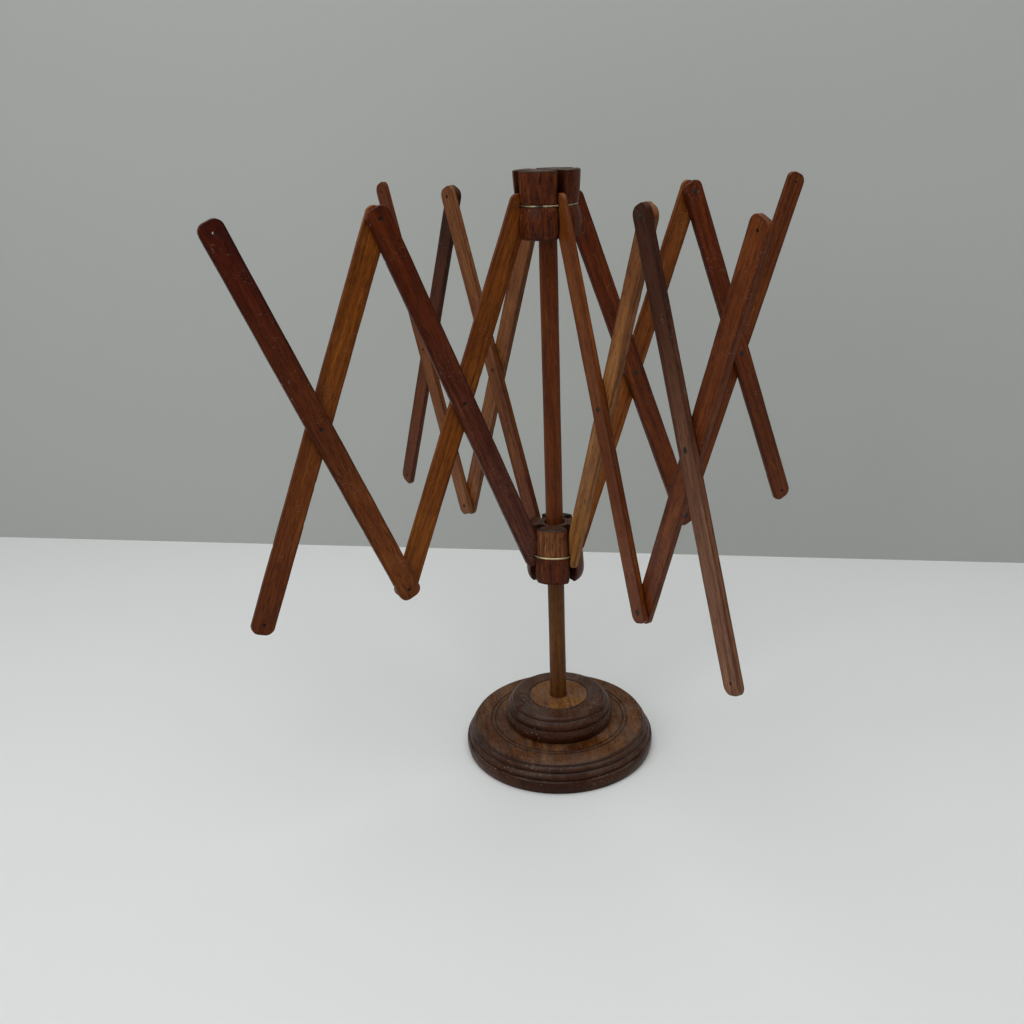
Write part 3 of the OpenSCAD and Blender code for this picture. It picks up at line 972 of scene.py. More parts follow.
@dataclass
class Arm:
    """One lazy-tongs arm: four slats that cross in pairs, and the four pins that hold them.

    Attributes:
        number: which arm, from 1 to 4.
        stains: stain at the top and at the foot of each slat, by the slat's name.
        hole: radius of a pin hole.
        wire_hole: radius of the hole that the wire ring passes through.
        spare_hole: radius of the empty hole in a free end.
        out: the way the arm runs, away from the pole.
        through: square to the arm's middle plane.
        hub_side: the axis on which the arm hangs from the top hub.
        crossing: the inner crossing.
    """

    number: int
    stains: dict[str, tuple[Stain, Stain]]
    hole: float = 1.35 * MM
    wire_hole: float = 1.97 * MM
    spare_hole: float = 1 * MM
    out: Array = field(init=False)
    through: Array = field(init=False)
    hub_side: Array = field(init=False)
    crossing: Array = field(init=False)

    def __post_init__(self) -> None:
        """Takes the arm's place and heading from its fold joint and its inner crossing."""
        fold = "fold" if self.number == 1 else f"fold_{self.number}"
        self.hub_side = joint_place(fold)
        self.crossing = joint_place(f"inner_cross_{self.number}")
        flat = (self.crossing - self.hub_side) * (1, 1, 0)
        self.out = flat / np.linalg.norm(flat)
        self.through = np.cross(UP, self.out)

    def build(self) -> None:
        """Builds the arm's slats, then its pins."""
        step = self.crossing - self.hub_side
        outward = self.out * (step @ self.out)
        wire, hole, spare = self.wire_hole, self.hole, self.spare_hole
        self._slat("inner_down", Run.DOWN, self.crossing, (wire, hole, hole))
        self._slat("inner_up", Run.UP, self.crossing, (hole, hole, wire))
        self._slat("outer_up", Run.UP, self.crossing + 2 * outward, (spare, hole, hole))
        self._slat("outer_down", Run.DOWN, self.crossing + 2 * outward, (hole, hole, spare))
        self._pin("inner_cross_pin", "inner_down", self.crossing)
        self._pin("outer_cross_pin", "outer_down", self.crossing + 2 * outward)
        self._pin("top_joint_pin", "outer_down", joint_place(f"top_joint_{self.number}"))
        self._pin("bottom_joint_pin", "inner_down", joint_place(f"bottom_joint_{self.number}"))

    def _slat(self, name: str, run: Run, crossing: Array, holes: Triple) -> None:
        """Builds one slat on its own side of the arm's middle plane.

        Args:
            name: the slat's name, without the arm's number.
            run: whether it leaves the pole downwards or upwards.
            crossing: where its middle hole crosses the arm's middle plane.
            holes: radii of its top, middle and low holes.
        """
        node = f"{name}_{self.number}"
        step = self.crossing - self.hub_side
        pitch = float(np.linalg.norm(step))
        lean = run.value * (step @ self.out) / pitch
        rise = -step[2] / pitch
        along = self.out * lean + UP * rise
        across = self.out * rise - UP * lean
        flat = Axes(crossing, across, self.through, along)
        low, high = flat.reach(node)
        middle = crossing + self.through * (low[1] + high[1]) / 2
        top, foot = self.stains[name]
        seed = 10 * self.number + list(self.stains).index(name)
        axes = Axes(middle, across, self.through, along)
        Slat(node, axes, run, holes, top, foot, seed, pitch).piece(node)

    def _pin(self, name: str, slat: str, place: Array) -> None:
        """Builds one pin, which is tight in the given slat and moves with it."""
        axes = Axes(place, self.out, np.cross(self.through, self.out), self.through)
        Pin(f"{name}_{self.number}", axes).piece(f"{slat}_{self.number}")


@dataclass
class Screw:
    """A countersunk wood screw with a slotted head and a cut thread.

    Attributes:
        node: the CAD node that it stands for.
        axes: the head's top; the third axis points out of the wood.
        head: radius of the head.
        shank: radius of the shank.
        length: from the head's top to the tip.
        slot: half width of the driver's slot.
        plain: unthreaded length under the head.
    """

    node: str
    axes: Axes
    head: float = 4.5 * MM
    shank: float = 2 * MM
    length: float = 32 * MM
    slot: float = 0.5 * MM
    plain: float = 6 * MM

    def piece(self) -> None:
        """Builds, dresses and mounts the screw."""
        even = self.head * np.cos(np.pi * np.linspace(0, 1, 19))
        lips = np.array([-1.0, -0.8, 0.8, 1.0]) * self.slot
        across = np.unique(np.round(np.concatenate([even, lips]), 7))[::-1]
        bearing = np.arccos(np.clip(across / self.head, -1, 1))
        angles = np.concatenate([bearing, -bearing[-2:0:-1]])
        skin = Skin(self.axes, shift=wood_shift(len(self.node)))
        self._head_top(skin, across)
        self._shaft(skin, angles)
        finish_piece(skin.build(self.node + "_cut"), self.node, "root", "screw_steel", SCREW_STEEL)

    def _head_top(self, skin: Skin, across: Array) -> None:
        """The head's top: columns across it, each run from rim to rim, sunk where the slot is."""
        share = np.linspace(-1, 1, 17)[:, None]
        chord = np.sqrt(np.maximum(self.head**2 - across**2, 0))
        sunk = (np.abs(across) < 0.9 * self.slot) * (1 - share**10) * self.head * 0.2
        points = np.stack([across + 0 * share, share * chord, -sunk], -1)
        skin.grid(points, recess=(sunk > 0) * 0.8)

    def _shaft(self, skin: Skin, angles: Array) -> None:
        """The cone, the shank and the thread: a cylinder whose radius follows a helical saw wave."""
        cone = self.head - self.shank
        thread_top = -cone - self.plain
        top = np.array([[self.head, 0.0], [self.shank, -cone], [self.shank, thread_top]])
        skin.grid(turned(top, angles), closed=True)
        height = np.linspace(thread_top, -self.length, 150)[:, None]
        turns = height / (1.6 * MM) + angles / (2 * np.pi)
        cut = np.abs(turns % 1 - 0.5) * 2
        taper = np.clip((self.length + height) / (6 * MM), 0, 1) ** 0.7
        start = np.clip((thread_top - height) / (2 * MM), 0, 1)
        radius = self.shank * taper * (1 - 0.22 * cut * start)
        level = np.broadcast_to(height, radius.shape)
        points = np.stack([radius * np.cos(angles), radius * np.sin(angles), level], -1)
        skin.grid(points, closed=True, recess=0.6 * cut * start)


@dataclass
class Turning:
    """A piece turned on a lathe: a closed profile carried round the pole's axis, then dented.

    Attributes:
        node: the CAD node that it stands for.
        slot: the record's material slot.
        finish: what it is dressed in.
        profile: radius and height of each point, starting inside and running round by way of the
            underside, the outside and the top.
        stain: linear colour of each point.
        grain: direction in which the board's grain runs.
        steps: faces round the piece.
        dents: how many dents the arrises have.
        body: the CAD body that it moves with.
        spread: how far the darkening and wear of an arris, or the painted shade of a quirk, reaches.
        least_reach: shortest distance that a turn is taken over.
        sharp_bend: bend that counts as fully sharp, in radians a metre.
    """

    node: str
    slot: str
    finish: Finish
    profile: Array
    stain: Array
    grain: Array = field(default_factory=lambda: UP)
    steps: int = 160
    dents: int = 0
    body: str = "root"
    spread: float = 0.9 * MM
    least_reach: float = 0.35 * MM
    sharp_bend: float = 0.9 / MM

    def piece(self, suffix: str = "_turned") -> None:
        """Builds, dresses and mounts the piece."""
        sharp = self._sharpness()
        angles = full_circle(self.steps)
        points = turned(self.profile, angles)
        arris = np.clip(sharp, 0, 1)[:, None] * np.ones(self.steps)
        # Painted shade: the finish darkens each quirk by this depth.
        recess = np.clip(-sharp, 0, 1)[:, None] * np.ones(self.steps) * 0.9
        points, struck = self._struck(points, angles, arris)
        first = np.cross(self.grain, UP) if abs(self.grain[2]) < 0.9 else np.eye(3)[0]
        first = first / np.linalg.norm(first)
        wood = np.stack([first, np.cross(self.grain, first), self.grain])
        skin = Skin(upright(0.0), grain=wood, shift=wood_shift(len(self.node) + 3))
        skin.grid(points, True, np.maximum(arris, struck), recess, self.stain[:, None])
        finish_piece(skin.build(self.node + suffix), self.node, self.body, self.slot, self.finish)

    def _sharpness(self) -> Array:
        """How sharply the profile turns at each point: positive on an arris, negative in a quirk.

        It is the change of direction over the distance between neighbours, against the bend that
        counts as fully sharp, and fades out along the profile over one spread each way.
        """
        before = self.profile - np.roll(self.profile, 1, 0)
        after = np.roll(self.profile, -1, 0) - self.profile
        heading = [np.arctan2(step[:, 1], step[:, 0]) for step in (before, after)]
        turn = (heading[1] - heading[0] + np.pi) % (2 * np.pi) - np.pi
        reach = (np.linalg.norm(before, axis=1) + np.linalg.norm(after, axis=1)) / 2
        bend = np.clip(turn / np.maximum(reach, self.least_reach) / self.sharp_bend, -1, 1)
        along = np.cumsum(np.linalg.norm(before, axis=1))
        fade = np.clip(1 - np.abs(along[:, None] - along) / self.spread, 0, 1)
        quirk = (np.clip(bend, None, 0) * fade).min(1)
        edge = (np.clip(bend, 0, None) * fade).max(1)
        return np.where(quirk < -0.1, quirk, edge)

    def _struck(self, points: Array, angles: Array, arris: Array) -> tuple[Array, Array]:
        """Dents the arrises: each dent is a bell curve about one spot that pushes inwards.

        Args:
            points: the turned points.
            angles: the angle of each column.
            arris: nearness of each point to an arris.

        Returns:
            The moved points, and how dented each is, from 0 to 1.
        """
        draw = np.random.default_rng(len(self.node))
        outer = float(self.profile[:, 0].max())
        dented = np.zeros(points.shape[:2])
        edges = np.flatnonzero((arris[:, 0] > 0.3) & (self.profile[:, 0] > 0.4 * outer))
        for _ in range(self.dents):
            row = draw.choice(edges)
            bearing, width, depth = draw.uniform((0, 0.8, 0.3), (2 * np.pi, 2.4, 1.0))
            away = (angles - bearing + np.pi) % (2 * np.pi) - np.pi
            span = away * self.profile[row, 0] / (1.5 * width * MM)
            rise = np.linalg.norm(self.profile - self.profile[row], axis=1) / (0.8 * MM)
            dented = np.maximum(dented, depth * np.exp(-(span**2)) * np.exp(-(rise**2))[:, None])
        dented *= arris
        moved = points.copy()
        moved[..., :2] *= (1 - dented * 0.5 * MM / outer)[..., None]
        return moved, np.clip(dented * 1.3, 0, 1)


@dataclass
class Base:
    """The turned base: a wide moulded tier and a smaller one on it, round the foot of the pole.

    Attributes:
        radius: radius at the plinth.
        upper: radius of the upper tier.
        disc_h: height of the lower tier.
        top_h: height of the base's top above the table.
        ring: radius of the fine groove in the top.
        socket: radius of the pole's socket.
        socket_floor: height of the socket's floor.
        screw: radius of the screw's hole.
        screw_head: radius of its countersink.
        head_sink: how far the head lies up inside the underside.
        quirk: step between one moulding and the next.
        top_fine: half width of the groove round the top's pale middle.
        disc_fine: half width of the two grooves in the lower tier's top.
        short_run: longest straight run that is left as it is.
        grain: heading of the grain.
    """

    radius: float = 92.5 * MM
    upper: float = 52.5 * MM
    disc_h: float = 28 * MM
    top_h: float = 53 * MM
    ring: float = 29 * MM
    socket: float = 8 * MM
    socket_floor: float = 8 * MM
    screw: float = 2 * MM
    screw_head: float = 4.5 * MM
    head_sink: float = 0.6 * MM
    quirk: float = 0.7 * MM
    top_fine: float = 0.6 * MM
    disc_fine: float = 0.5 * MM
    short_run: float = 2.4 * MM
    grain: float = 66.0

    def build(self) -> None:
        """Builds the two tiers."""
        heading = math.radians(self.grain)
        along = np.array([math.cos(heading), math.sin(heading), 0.0])
        disc = self._flats_bounded(self._disc())
        flat = (disc[:, 1] > self.disc_h - 0.5 * MM)[:, None]
        stain = np.where(flat, Stain.DUN.value, Stain.WALNUT.value)
        Turning("base_disc", "base_wood", BASE_WOOD, disc, stain, along, 200, 34).piece()
        riser = self._flats_bounded(self._riser())
        pale = (riser[:, 0] < self.ring - 0.4 * MM)[:, None]
        stain = np.where(pale, Stain.OCHRE.value, Stain.WALNUT.value)
        Turning("base_riser", "base_wood", BASE_WOOD, riser, stain, along, 160, 16).piece()

    def _flats_bounded(self, profile: Array) -> Array:
        """The profile with a point put in just short of both ends of each long straight run."""
        run = np.roll(profile, -1, 0) - profile
        length = np.linalg.norm(run, axis=1, keepdims=True)
        inset = run / np.maximum(length, self.short_run / 10) * self.short_run / 3
        points = np.stack([profile, profile + inset, profile + run - inset], 1)
        is_long = length > self.short_run
        return points[np.hstack([np.ones_like(is_long), is_long, is_long])]

    def _groove(self, radius: float, height: float, size: float) -> Array:
        """A fine half-round groove in a flat top, met from outside."""
        return oval((radius, height), (size, size), 0, -180, 8)

    def _disc(self) -> Array:
        """Profile of the lower tier: plinth, two beads, and a flat top with two fine grooves."""
        plinth, bead = 0.43 * self.disc_h, 0.23 * self.disc_h
        foot, outer = 1.6 * MM, self.radius - 1 * MM
        middle, rim, crown = self.radius - 3 * MM, self.radius - 8 * MM, 3 * MM
        low_quirk, high_quirk = plinth + self.quirk, plinth + bead + self.quirk
        head_top = self.head_sink + self.screw_head - self.screw
        return np.concatenate([
            [[self.screw, self.socket_floor], [self.screw, head_top]],
            [[self.screw_head, self.head_sink], [self.screw_head, 0.0]],
            np.stack([np.linspace(0.3, 0.95, 5) * self.radius, np.zeros(5)], 1),
            oval((outer - foot, foot), (foot, foot), -90, 0, 6),
            bulge((outer, foot), (outer + 0.4 * MM, plinth), 0.7 * MM, 16)[1:],
            bulge((middle, low_quirk), (middle - 1.6 * MM, plinth + bead), 1.2 * MM, 18),
            bulge((rim + 2 * MM, high_quirk), (rim, plinth + 2 * bead), 1.4 * MM, 18),
            oval((rim - crown, self.disc_h - crown), (crown, crown), 0, 90, 10)[1:],
            self._groove(self.upper + 15 * MM, self.disc_h, self.disc_fine),
            self._groove(self.upper + 11 * MM, self.disc_h, self.disc_fine),
            [[self.upper, self.disc_h], [0.5 * self.upper, self.disc_h], [self.socket, self.disc_h]],
            [[self.socket, self.socket_floor], [self.screw, self.socket_floor]],
        ])

    def _riser(self) -> Array:
        """Profile of the upper tier: swelling drum, narrower ring, rounded crown, grooved flat top."""
        tall = self.top_h - self.disc_h
        drum, ring = 0.49 * tall, 0.81 * tall
        crown_foot, crown = ring + self.quirk, 4 * MM
        ring_r, crown_r = self.upper - 2.4 * MM, self.upper - 6.2 * MM
        outline = np.concatenate([
            [[self.socket, 0.0], [0.5 * self.upper, 0.0]],
            bulge((self.upper - 1.4 * MM, 0.0), (self.upper - 2.1 * MM, drum), 1.8 * MM, 24),
            bulge((ring_r, drum + self.quirk), (self.upper - 5 * MM, ring), 1.3 * MM, 18),
            oval((crown_r - crown, crown_foot), (crown, tall - crown_foot), 0, 90, 12),
            np.stack([np.linspace(0.76, 0.62, 4) * self.upper, np.full(4, tall)], 1),
            self._groove(self.ring, tall, self.top_fine),
            np.stack([np.linspace(0.52, 0.2, 4) * self.upper, np.full(4, tall)], 1),
            [[self.socket + 0.3 * MM, tall], [self.socket, tall - 0.3 * MM], [self.socket, 0.0]],
        ])
        return outline + (0.0, self.disc_h)


@dataclass
class Hub:
    """A turned hub with four upright slots and a groove for a wire ring.

    Attributes:
        node: the CAD node that it stands for.
        axes: the middle of its ring, upright.
        side: which side of the arms' middle planes its slats lie on, as a sign.
        stains: its stain above and below the groove, and on its ends.
        outside: radius and height of the two halves of its outside, from the bottom rim up.
        bore: radius and height of its bore, from the top face down.
        slot_w: width of a slot.
        slot_floor: distance from the pole's axis to a slot's floor.
        layer: distance from an arm's middle plane to the slats' middle.
        groove_w: width of the groove.
        groove_floor: radius of the groove's floor.
        ease: radius of the eased arrises of the slots.
        fillet: radius of the corners where a slot meets the outside.
        wall_points: points along a slot's wall.
        fillet_points: points round a fillet.
        arc_points: points on the outside between two fillets.
        floor_points: points across a slot's floor.
    """

    node: str
    axes: Axes
    side: int
    stains: tuple[Stain, Stain, Stain]
    outside: tuple[Array, Array]
    bore: Array
    slot_w: float = 7.35 * MM
    slot_floor: float = 13.7 * MM
    layer: float = 2.55 * MM
    groove_w: float = 2.4 * MM
    groove_floor: float = 23.9 * MM
    ease: float = 0.6 * MM
    fillet: float = 0.6 * MM
    wall_points: int = 9
    fillet_points: int = 4
    arc_points: int = 24
    floor_points: int = 4

    def piece(self) -> None:
        """Builds, dresses and mounts the hub."""
        skin = Skin(self.axes, shift=wood_shift(len(self.node) * 7))
        profile = self._profile()
        half = profile[-1, 1]
        from_end = half - np.abs(profile[:, 1])
        short = np.clip(self.ease - from_end, 0, self.ease)
        drawn_back = self.ease - np.sqrt(self.ease**2 - short**2)
        sector = self._sector(profile[:, 0], drawn_back)
        outline = self._four_times(sector)
        height = np.repeat(profile[:, 1, None, None], outline.shape[1], 1)
        recess, arris = self._darkening(profile, outline, from_end)
        share = np.clip(profile[:, 1] / self.groove_w + 0.5, 0, 1)[:, None, None]
        above, below, ends = self.stains
        stain = faded(below, above, share)
        lip = self.wall_points + self.fillet_points - 1
        lips = sector[:, None, [lip, lip + self.arc_points + 1]]
        from_slot = np.linalg.norm(sector[:, :, None] - lips, axis=-1).min(-1)
        slot_margin, end_margin = 1.8 * MM, 2 * MM
        near_slot = np.tile(np.clip(1 - from_slot / slot_margin, 0, 1), (1, 4))[..., None]
        near_end = np.clip(1.2 - from_end / end_margin, 0, 1)[:, None, None]
        margin = np.maximum(near_end, near_slot)
        stain = stain * (1 - margin) + np.array(ends.value) * margin
        skin.grid(np.concatenate([outline, height], -1), True, arris, recess, stain)
        for row, mouth in ((-1, 0), (0, -1)):
            self._end_face(skin, sector[row], profile[row, 1], self.bore[mouth, 0])
        bearing = self._plate_bearings(sector[0])
        # Painted shade: the bore is darkened as if in shade.
        skin.grid(turned(self.bore, bearing), closed=True, recess=0.8, stain=self.stains[1].value)
        finish_piece(skin.build(self.node + "_turned"), self.node, self.node, "hub_wood", HUB_WOOD)

    def _profile(self) -> Array:
        """The whole outside: lower half, groove with softened lips, upper half."""
        below, above = self.outside
        lip, half = 0.25 * MM, self.groove_w / 2
        lower = oval((below[-1, 0] - lip, -half - lip), (lip, lip), 0, 90, 3)
        floor = np.array([[self.groove_floor, height] for height in (-half, 0.0, half)])
        upper = oval((above[0, 0] - lip, half + lip), (lip, lip), -90, 0, 3)
        return np.concatenate([below[:-1], lower, floor, upper, above[1:]])

    def _sector(self, radius: Array, drawn_back: Array) -> Array:
        """A quarter of the outline.

        It runs out along a slot's wall, turns through a small fillet onto the outer circle, follows
        it, turns into the next slot, runs in along that slot's wall and crosses its floor.

        Args:
            radius: outer radius of each row.
            drawn_back: how far each row keeps back from the slots.

        Returns:
            Points by row and column, across and along the first slot's own axes.
        """
        outer, back = radius[:, None], drawn_back[:, None]
        floor = self.slot_floor - back
        near = self.slot_w / 2 + self.side * self.layer + back
        far = self.slot_w / 2 - self.side * self.layer + back
        first, first_bearing = self._wall(outer, floor, near)
        second, second_bearing = self._wall(outer, floor, far)
        share = np.linspace(0, 1, self.arc_points + 2)[1:-1]
        angle = first_bearing + (np.pi / 2 - first_bearing - second_bearing) * share
        arc = outer[..., None] * np.stack([np.cos(angle), np.sin(angle)], -1)
        share = np.linspace(0, 1, self.floor_points + 2)[1:-1]
        crossing = np.stack([far - (far + near) * share, floor + 0 * share], -1)
        return np.concatenate([first, arc, second[:, ::-1, ::-1], crossing], 1)

    def _wall(self, outer: Array, floor: Array, offset: Array) -> tuple[Array, Array]:
        """A slot's wall and its fillet, from the floor to the outer circle.

        Args:
            outer: radius of the circle in each row.
            floor: distance of the slot's floor in each row.
            offset: distance of the wall from the slot's own axis in each row.

        Returns:
            The points, and the bearing at which the fillet meets the circle.
        """
        middle = np.sqrt((outer - self.fillet) ** 2 - (offset + self.fillet) ** 2)
        bearing = np.arctan2(offset + self.fillet, middle)
        run = np.linspace(0, 1, self.wall_points)
        turn = np.linspace(0, 1, self.fillet_points + 1)[1:]
        straight = np.stack([floor + (middle - floor) * run, offset + 0 * run], -1)
        angle = -np.pi / 2 + turn * (bearing + np.pi / 2)
        centre = np.stack([middle, offset + self.fillet], -1)
        corner = centre + self.fillet * np.stack([np.cos(angle), np.sin(angle)], -1)
        return np.concatenate([straight, corner], 1), bearing

    @staticmethod
    def _quarters(sector: Array) -> list[Array]:
        """A sector at each of its four quarter turns."""
        x, y = sector[..., 0], sector[..., 1]
        return [np.stack(pair, -1) for pair in ((x, y), (-y, x), (-x, -y), (y, -x))]

    def _four_times(self, sector: Array) -> Array:
        """A sector repeated at each quarter turn, side by side in columns."""
        return np.concatenate(self._quarters(sector), -2)

    def _darkening(self, profile: Array, outline: Array, from_end: Array) -> tuple[Array, Array]:
        """Depth in a slot or in the groove, painted as shade by the finish, and nearness to an arris,
        darkened by buildup and painted shade, for each outline point.
        """
        radius = np.linalg.norm(outline, axis=-1)
        quarter = np.pi / 2
        bearing = np.arctan2(outline[..., 1], outline[..., 0])
        bearing = (bearing + quarter / 2) % quarter - quarter / 2
        across = radius * np.sin(bearing) - self.side * self.layer
        into_slot = np.clip((profile[:, :1] - 0.8 * MM - radius) / (5 * MM), 0, 1)
        at_floor = self.groove_floor + 0.1 * MM
        groove = (profile[:, :1] < at_floor) * (radius < at_floor)
        # Painted shade: depth in a slot or in the groove darkens the wood.
        recess = np.maximum(into_slot * 0.8, groove * 0.9)
        from_mouth = np.maximum(np.abs(across) - self.slot_w / 2, 0)
        mouth = np.exp(-from_mouth / (0.8 * MM)) * (into_slot < 0.1)
        rim = np.exp(-from_end / (1.2 * MM))[:, None] * (into_slot < 0.5)
        return recess, np.maximum(mouth, rim)

    def _inner_curve(self, sector: Array) -> Array:
        """From one slot's floor corner to the next one's: bearing and radius both change evenly."""
        last = len(sector) - self.floor_points - 1
        ends = sector[[0, last]]
        radius = np.linalg.norm(ends, axis=1)
        bearing = np.arctan2(ends[:, 1], ends[:, 0])
        share = np.linspace(0, 1, self.arc_points + 2 * self.fillet_points + 2)
        angle = bearing[0] + (bearing[1] - bearing[0]) * share
        reach = radius[0] + (radius[1] - radius[0]) * share
        return np.stack([reach * np.cos(angle), reach * np.sin(angle)], 1)

    def _end_face(self, skin: Skin, sector: Array, height: float, mouth: float) -> None:
        """An end face: four sectors between the slots, and a plate from their feet in to the bore.

        Args:
            skin: what it is added to.
            sector: the outline's first quarter at this end.
            height: height of the face.
            mouth: radius of the bore's mouth.
        """
        inner = self._inner_curve(sector)
        rim = sector[self.wall_points - 1 : -self.floor_points - self.wall_points + 1]
        share = np.linspace(0, 1, self.wall_points)[:, None, None]
        between_slots = inner * (1 - share) + rim * share
        arris = np.clip(share[..., 0] * 4 - 3.2, 0, 0.8) * np.ones(len(inner))
        level = np.full(between_slots.shape[:2] + (1,), height)
        for quarter in self._quarters(between_slots):
            face = np.concatenate([quarter, level], -1)
            skin.grid(face, arris=arris, stain=self.stains[2].value)
        loop = self._plate_loop(sector)
        hole = loop / np.linalg.norm(loop, axis=1, keepdims=True) * mouth
        share = np.linspace(0, 1, 5)[:, None, None]
        plate = loop * (1 - share) + hole * share
        level = np.full(plate.shape[:2] + (1,), height)
        skin.grid(np.concatenate([plate, level], -1), closed=True, stain=self.stains[2].value)

    def _plate_loop(self, sector: Array) -> Array:
        """The closed loop of the inner curves and the slots' floors."""
        quarter = np.concatenate([self._inner_curve(sector), sector[-self.floor_points :]])
        return self._four_times(quarter)

    def _plate_bearings(self, sector: Array) -> Array:
        """Bearing of each point of the plate's loop, in radians."""
        loop = self._plate_loop(sector)
        return np.arctan2(loop[:, 1], loop[:, 0])


@dataclass
class Stand:
    """What stands on the table and carries the arms: base, pole, screws, hubs and wire rings.

    Attributes:
        pole_r: radius of the pole.
        hub_half: half a hub's height.
        waist: radius of a hub beside its groove.
        groove: half width of the groove.
        bore_top: radius of the top hub's bore.
        bore_low: radius of the lower hub's bore.
        web: wood above the pole's end in the top hub.
        wire: radius of the wire.
        ring: radius of a ring, to the middle of its wire.
        screw_l: length of a screw.
        sink: how far a screw's head lies under the surface.
        pilot: radius of the pole's pilot holes.
        top_z: height of the top ring.
        low_z: height of the lower ring.
    """

    pole_r: float = 8 * MM
    hub_half: float = 27.5 * MM
    waist: float = 26.4 * MM
    groove: float = 1.2 * MM
    bore_top: float = 8.08 * MM
    bore_low: float = 9.2 * MM
    web: float = 12 * MM
    wire: float = 1 * MM
    ring: float = 25 * MM
    screw_l: float = 32 * MM
    sink: float = 0.6 * MM
    pilot: float = 2 * MM
    top_z: float = field(init=False)
    low_z: float = field(init=False)

    def __post_init__(self) -> None:
        """Takes the rings' heights from the joints."""
        self.top_z = float(joint_place("fold")[2])
        self.low_z = float(joint_place("bottom_joint_1")[2])

    def build(self) -> None:
        """Builds everything that stands or slides on the pole's axis."""
        Base().build()
        self._pole()
        self._top_hub()
        self._lower_hub()
        for end, height in (("top", self.top_z), ("lower", self.low_z)):
            wire = oval((self.ring, height), (self.wire, self.wire), -180, 180, 14)
            white = np.ones((len(wire), 3))
            node, body = end + "_ring", end + "_hub"
            Turning(node, "ring_wire", RING_WIRE, wire, white, steps=128, body=body).piece("_bent")
        Screw("hub_screw", upright(self.top_z + self.hub_half - self.sink)).piece()
        from_below = Axes(np.array([0.0, 0.0, self.sink]), *np.diag([1.0, -1.0, -1.0]))
        Screw("pole_screw", from_below).piece()

    def _pole(self) -> None:
        """The pole: a rod with softened ends and a pilot hole for a screw in each."""
        low, high = (corner[2] for corner in upright(0.0).reach("pole"))
        soft = 0.5 * MM
        height = np.linspace(low + soft, high - soft, 60)
        waver = self.pole_r + 0.05 * MM * (np.sin(height * 31) + np.sin(height * 83 + 1) - 2)
        foot, head = (
            np.array([
                [0.0, end + depth], [self.pilot, end + depth],
                [self.pilot, end], [self.pole_r - soft, end],
            ])
            for end, depth in ((low, self.screw_l), (high, -self.screw_l))
        )
        profile = np.concatenate([foot, np.stack([waver, height], 1), head[::-1]])
        share = np.clip((profile[:, 1:] - self.low_z) / (0.2 * self.low_z) + 0.5, 0, 1)
        stain = faded(Stain.DUN, Stain.RUSSET, share)
        Turning("pole", "pole_wood", POLE_WOOD, profile, stain, steps=48).piece()

    def _top_hub(self) -> None:
        """The top hub: a rounded foot and a barrel, then a cup that flares to the rim."""
        half, waist, groove = self.hub_half, self.waist, self.groove
        foot, rim, soft, crown = waist + 0.69 * MM, waist + 1.9 * MM, 2.5 * MM, 1.4 * MM
        below = np.concatenate([
            oval((foot - soft, soft - half), (soft, soft), -90, 0, 9),
            bulge((foot, soft - half), (waist, -groove), 1.95 * MM, 20)[1:],
        ])
        above = np.concatenate([
            bulge((waist, groove), (rim, half - crown), 0.2 * MM, 20),
            oval((rim - crown, half - crown), (crown, crown), 0, 90, 9)[1:],
        ])
        head, shank, web, mouth = 4.7 * MM, 2.05 * MM, half - self.web, 0.5 * MM
        bore = np.array([
            [head, half], [head, half - self.sink],
            [shank, half - self.sink - head + shank], [shank, web],
            [self.bore_top, web], [self.bore_top, mouth - half],
            [self.bore_top + mouth, -half],
        ])
        stains = (Stain.ROSEWOOD, Stain.ROSEWOOD, Stain.WALNUT)
        Hub("top_hub", upright(self.top_z), -1, stains, (below, above), bore).piece()

    def _lower_hub(self) -> None:
        """The lower hub: a foot that swells from a drawn-in underside, and a narrower neck."""
        half, groove = self.hub_half, self.groove
        belly, neck = self.waist + 0.5 * MM, self.waist - 1.7 * MM
        inward, rise, soft = 4.5 * MM, 10 * MM, 2.5 * MM
        below = np.concatenate([
            oval((belly - inward, rise - half), (inward, rise), -90, 0, 16),
            bulge((belly, rise - half), (self.waist - 0.5 * MM, -groove), 0.1 * MM, 14)[1:],
        ])
        above = np.concatenate([
            bulge((neck + 0.4 * MM, groove), (neck, half - soft), 0.3 * MM, 18),
            oval((neck - soft, half - soft), (soft, soft), 0, 90, 9)[1:],
        ])
        mouth = 0.5 * MM
        wide = self.bore_low + mouth
        bore = np.array([
            [wide, half], [self.bore_low, half - mouth],
            [self.bore_low, mouth - half], [wide, -half],
        ])
        stains = (Stain.UMBER, Stain.ROSEWOOD, Stain.WALNUT)
        Hub("lower_hub", upright(self.low_z), 1, stains, (below, above), bore).piece()


# ---------------------------------------------------------------- the studio


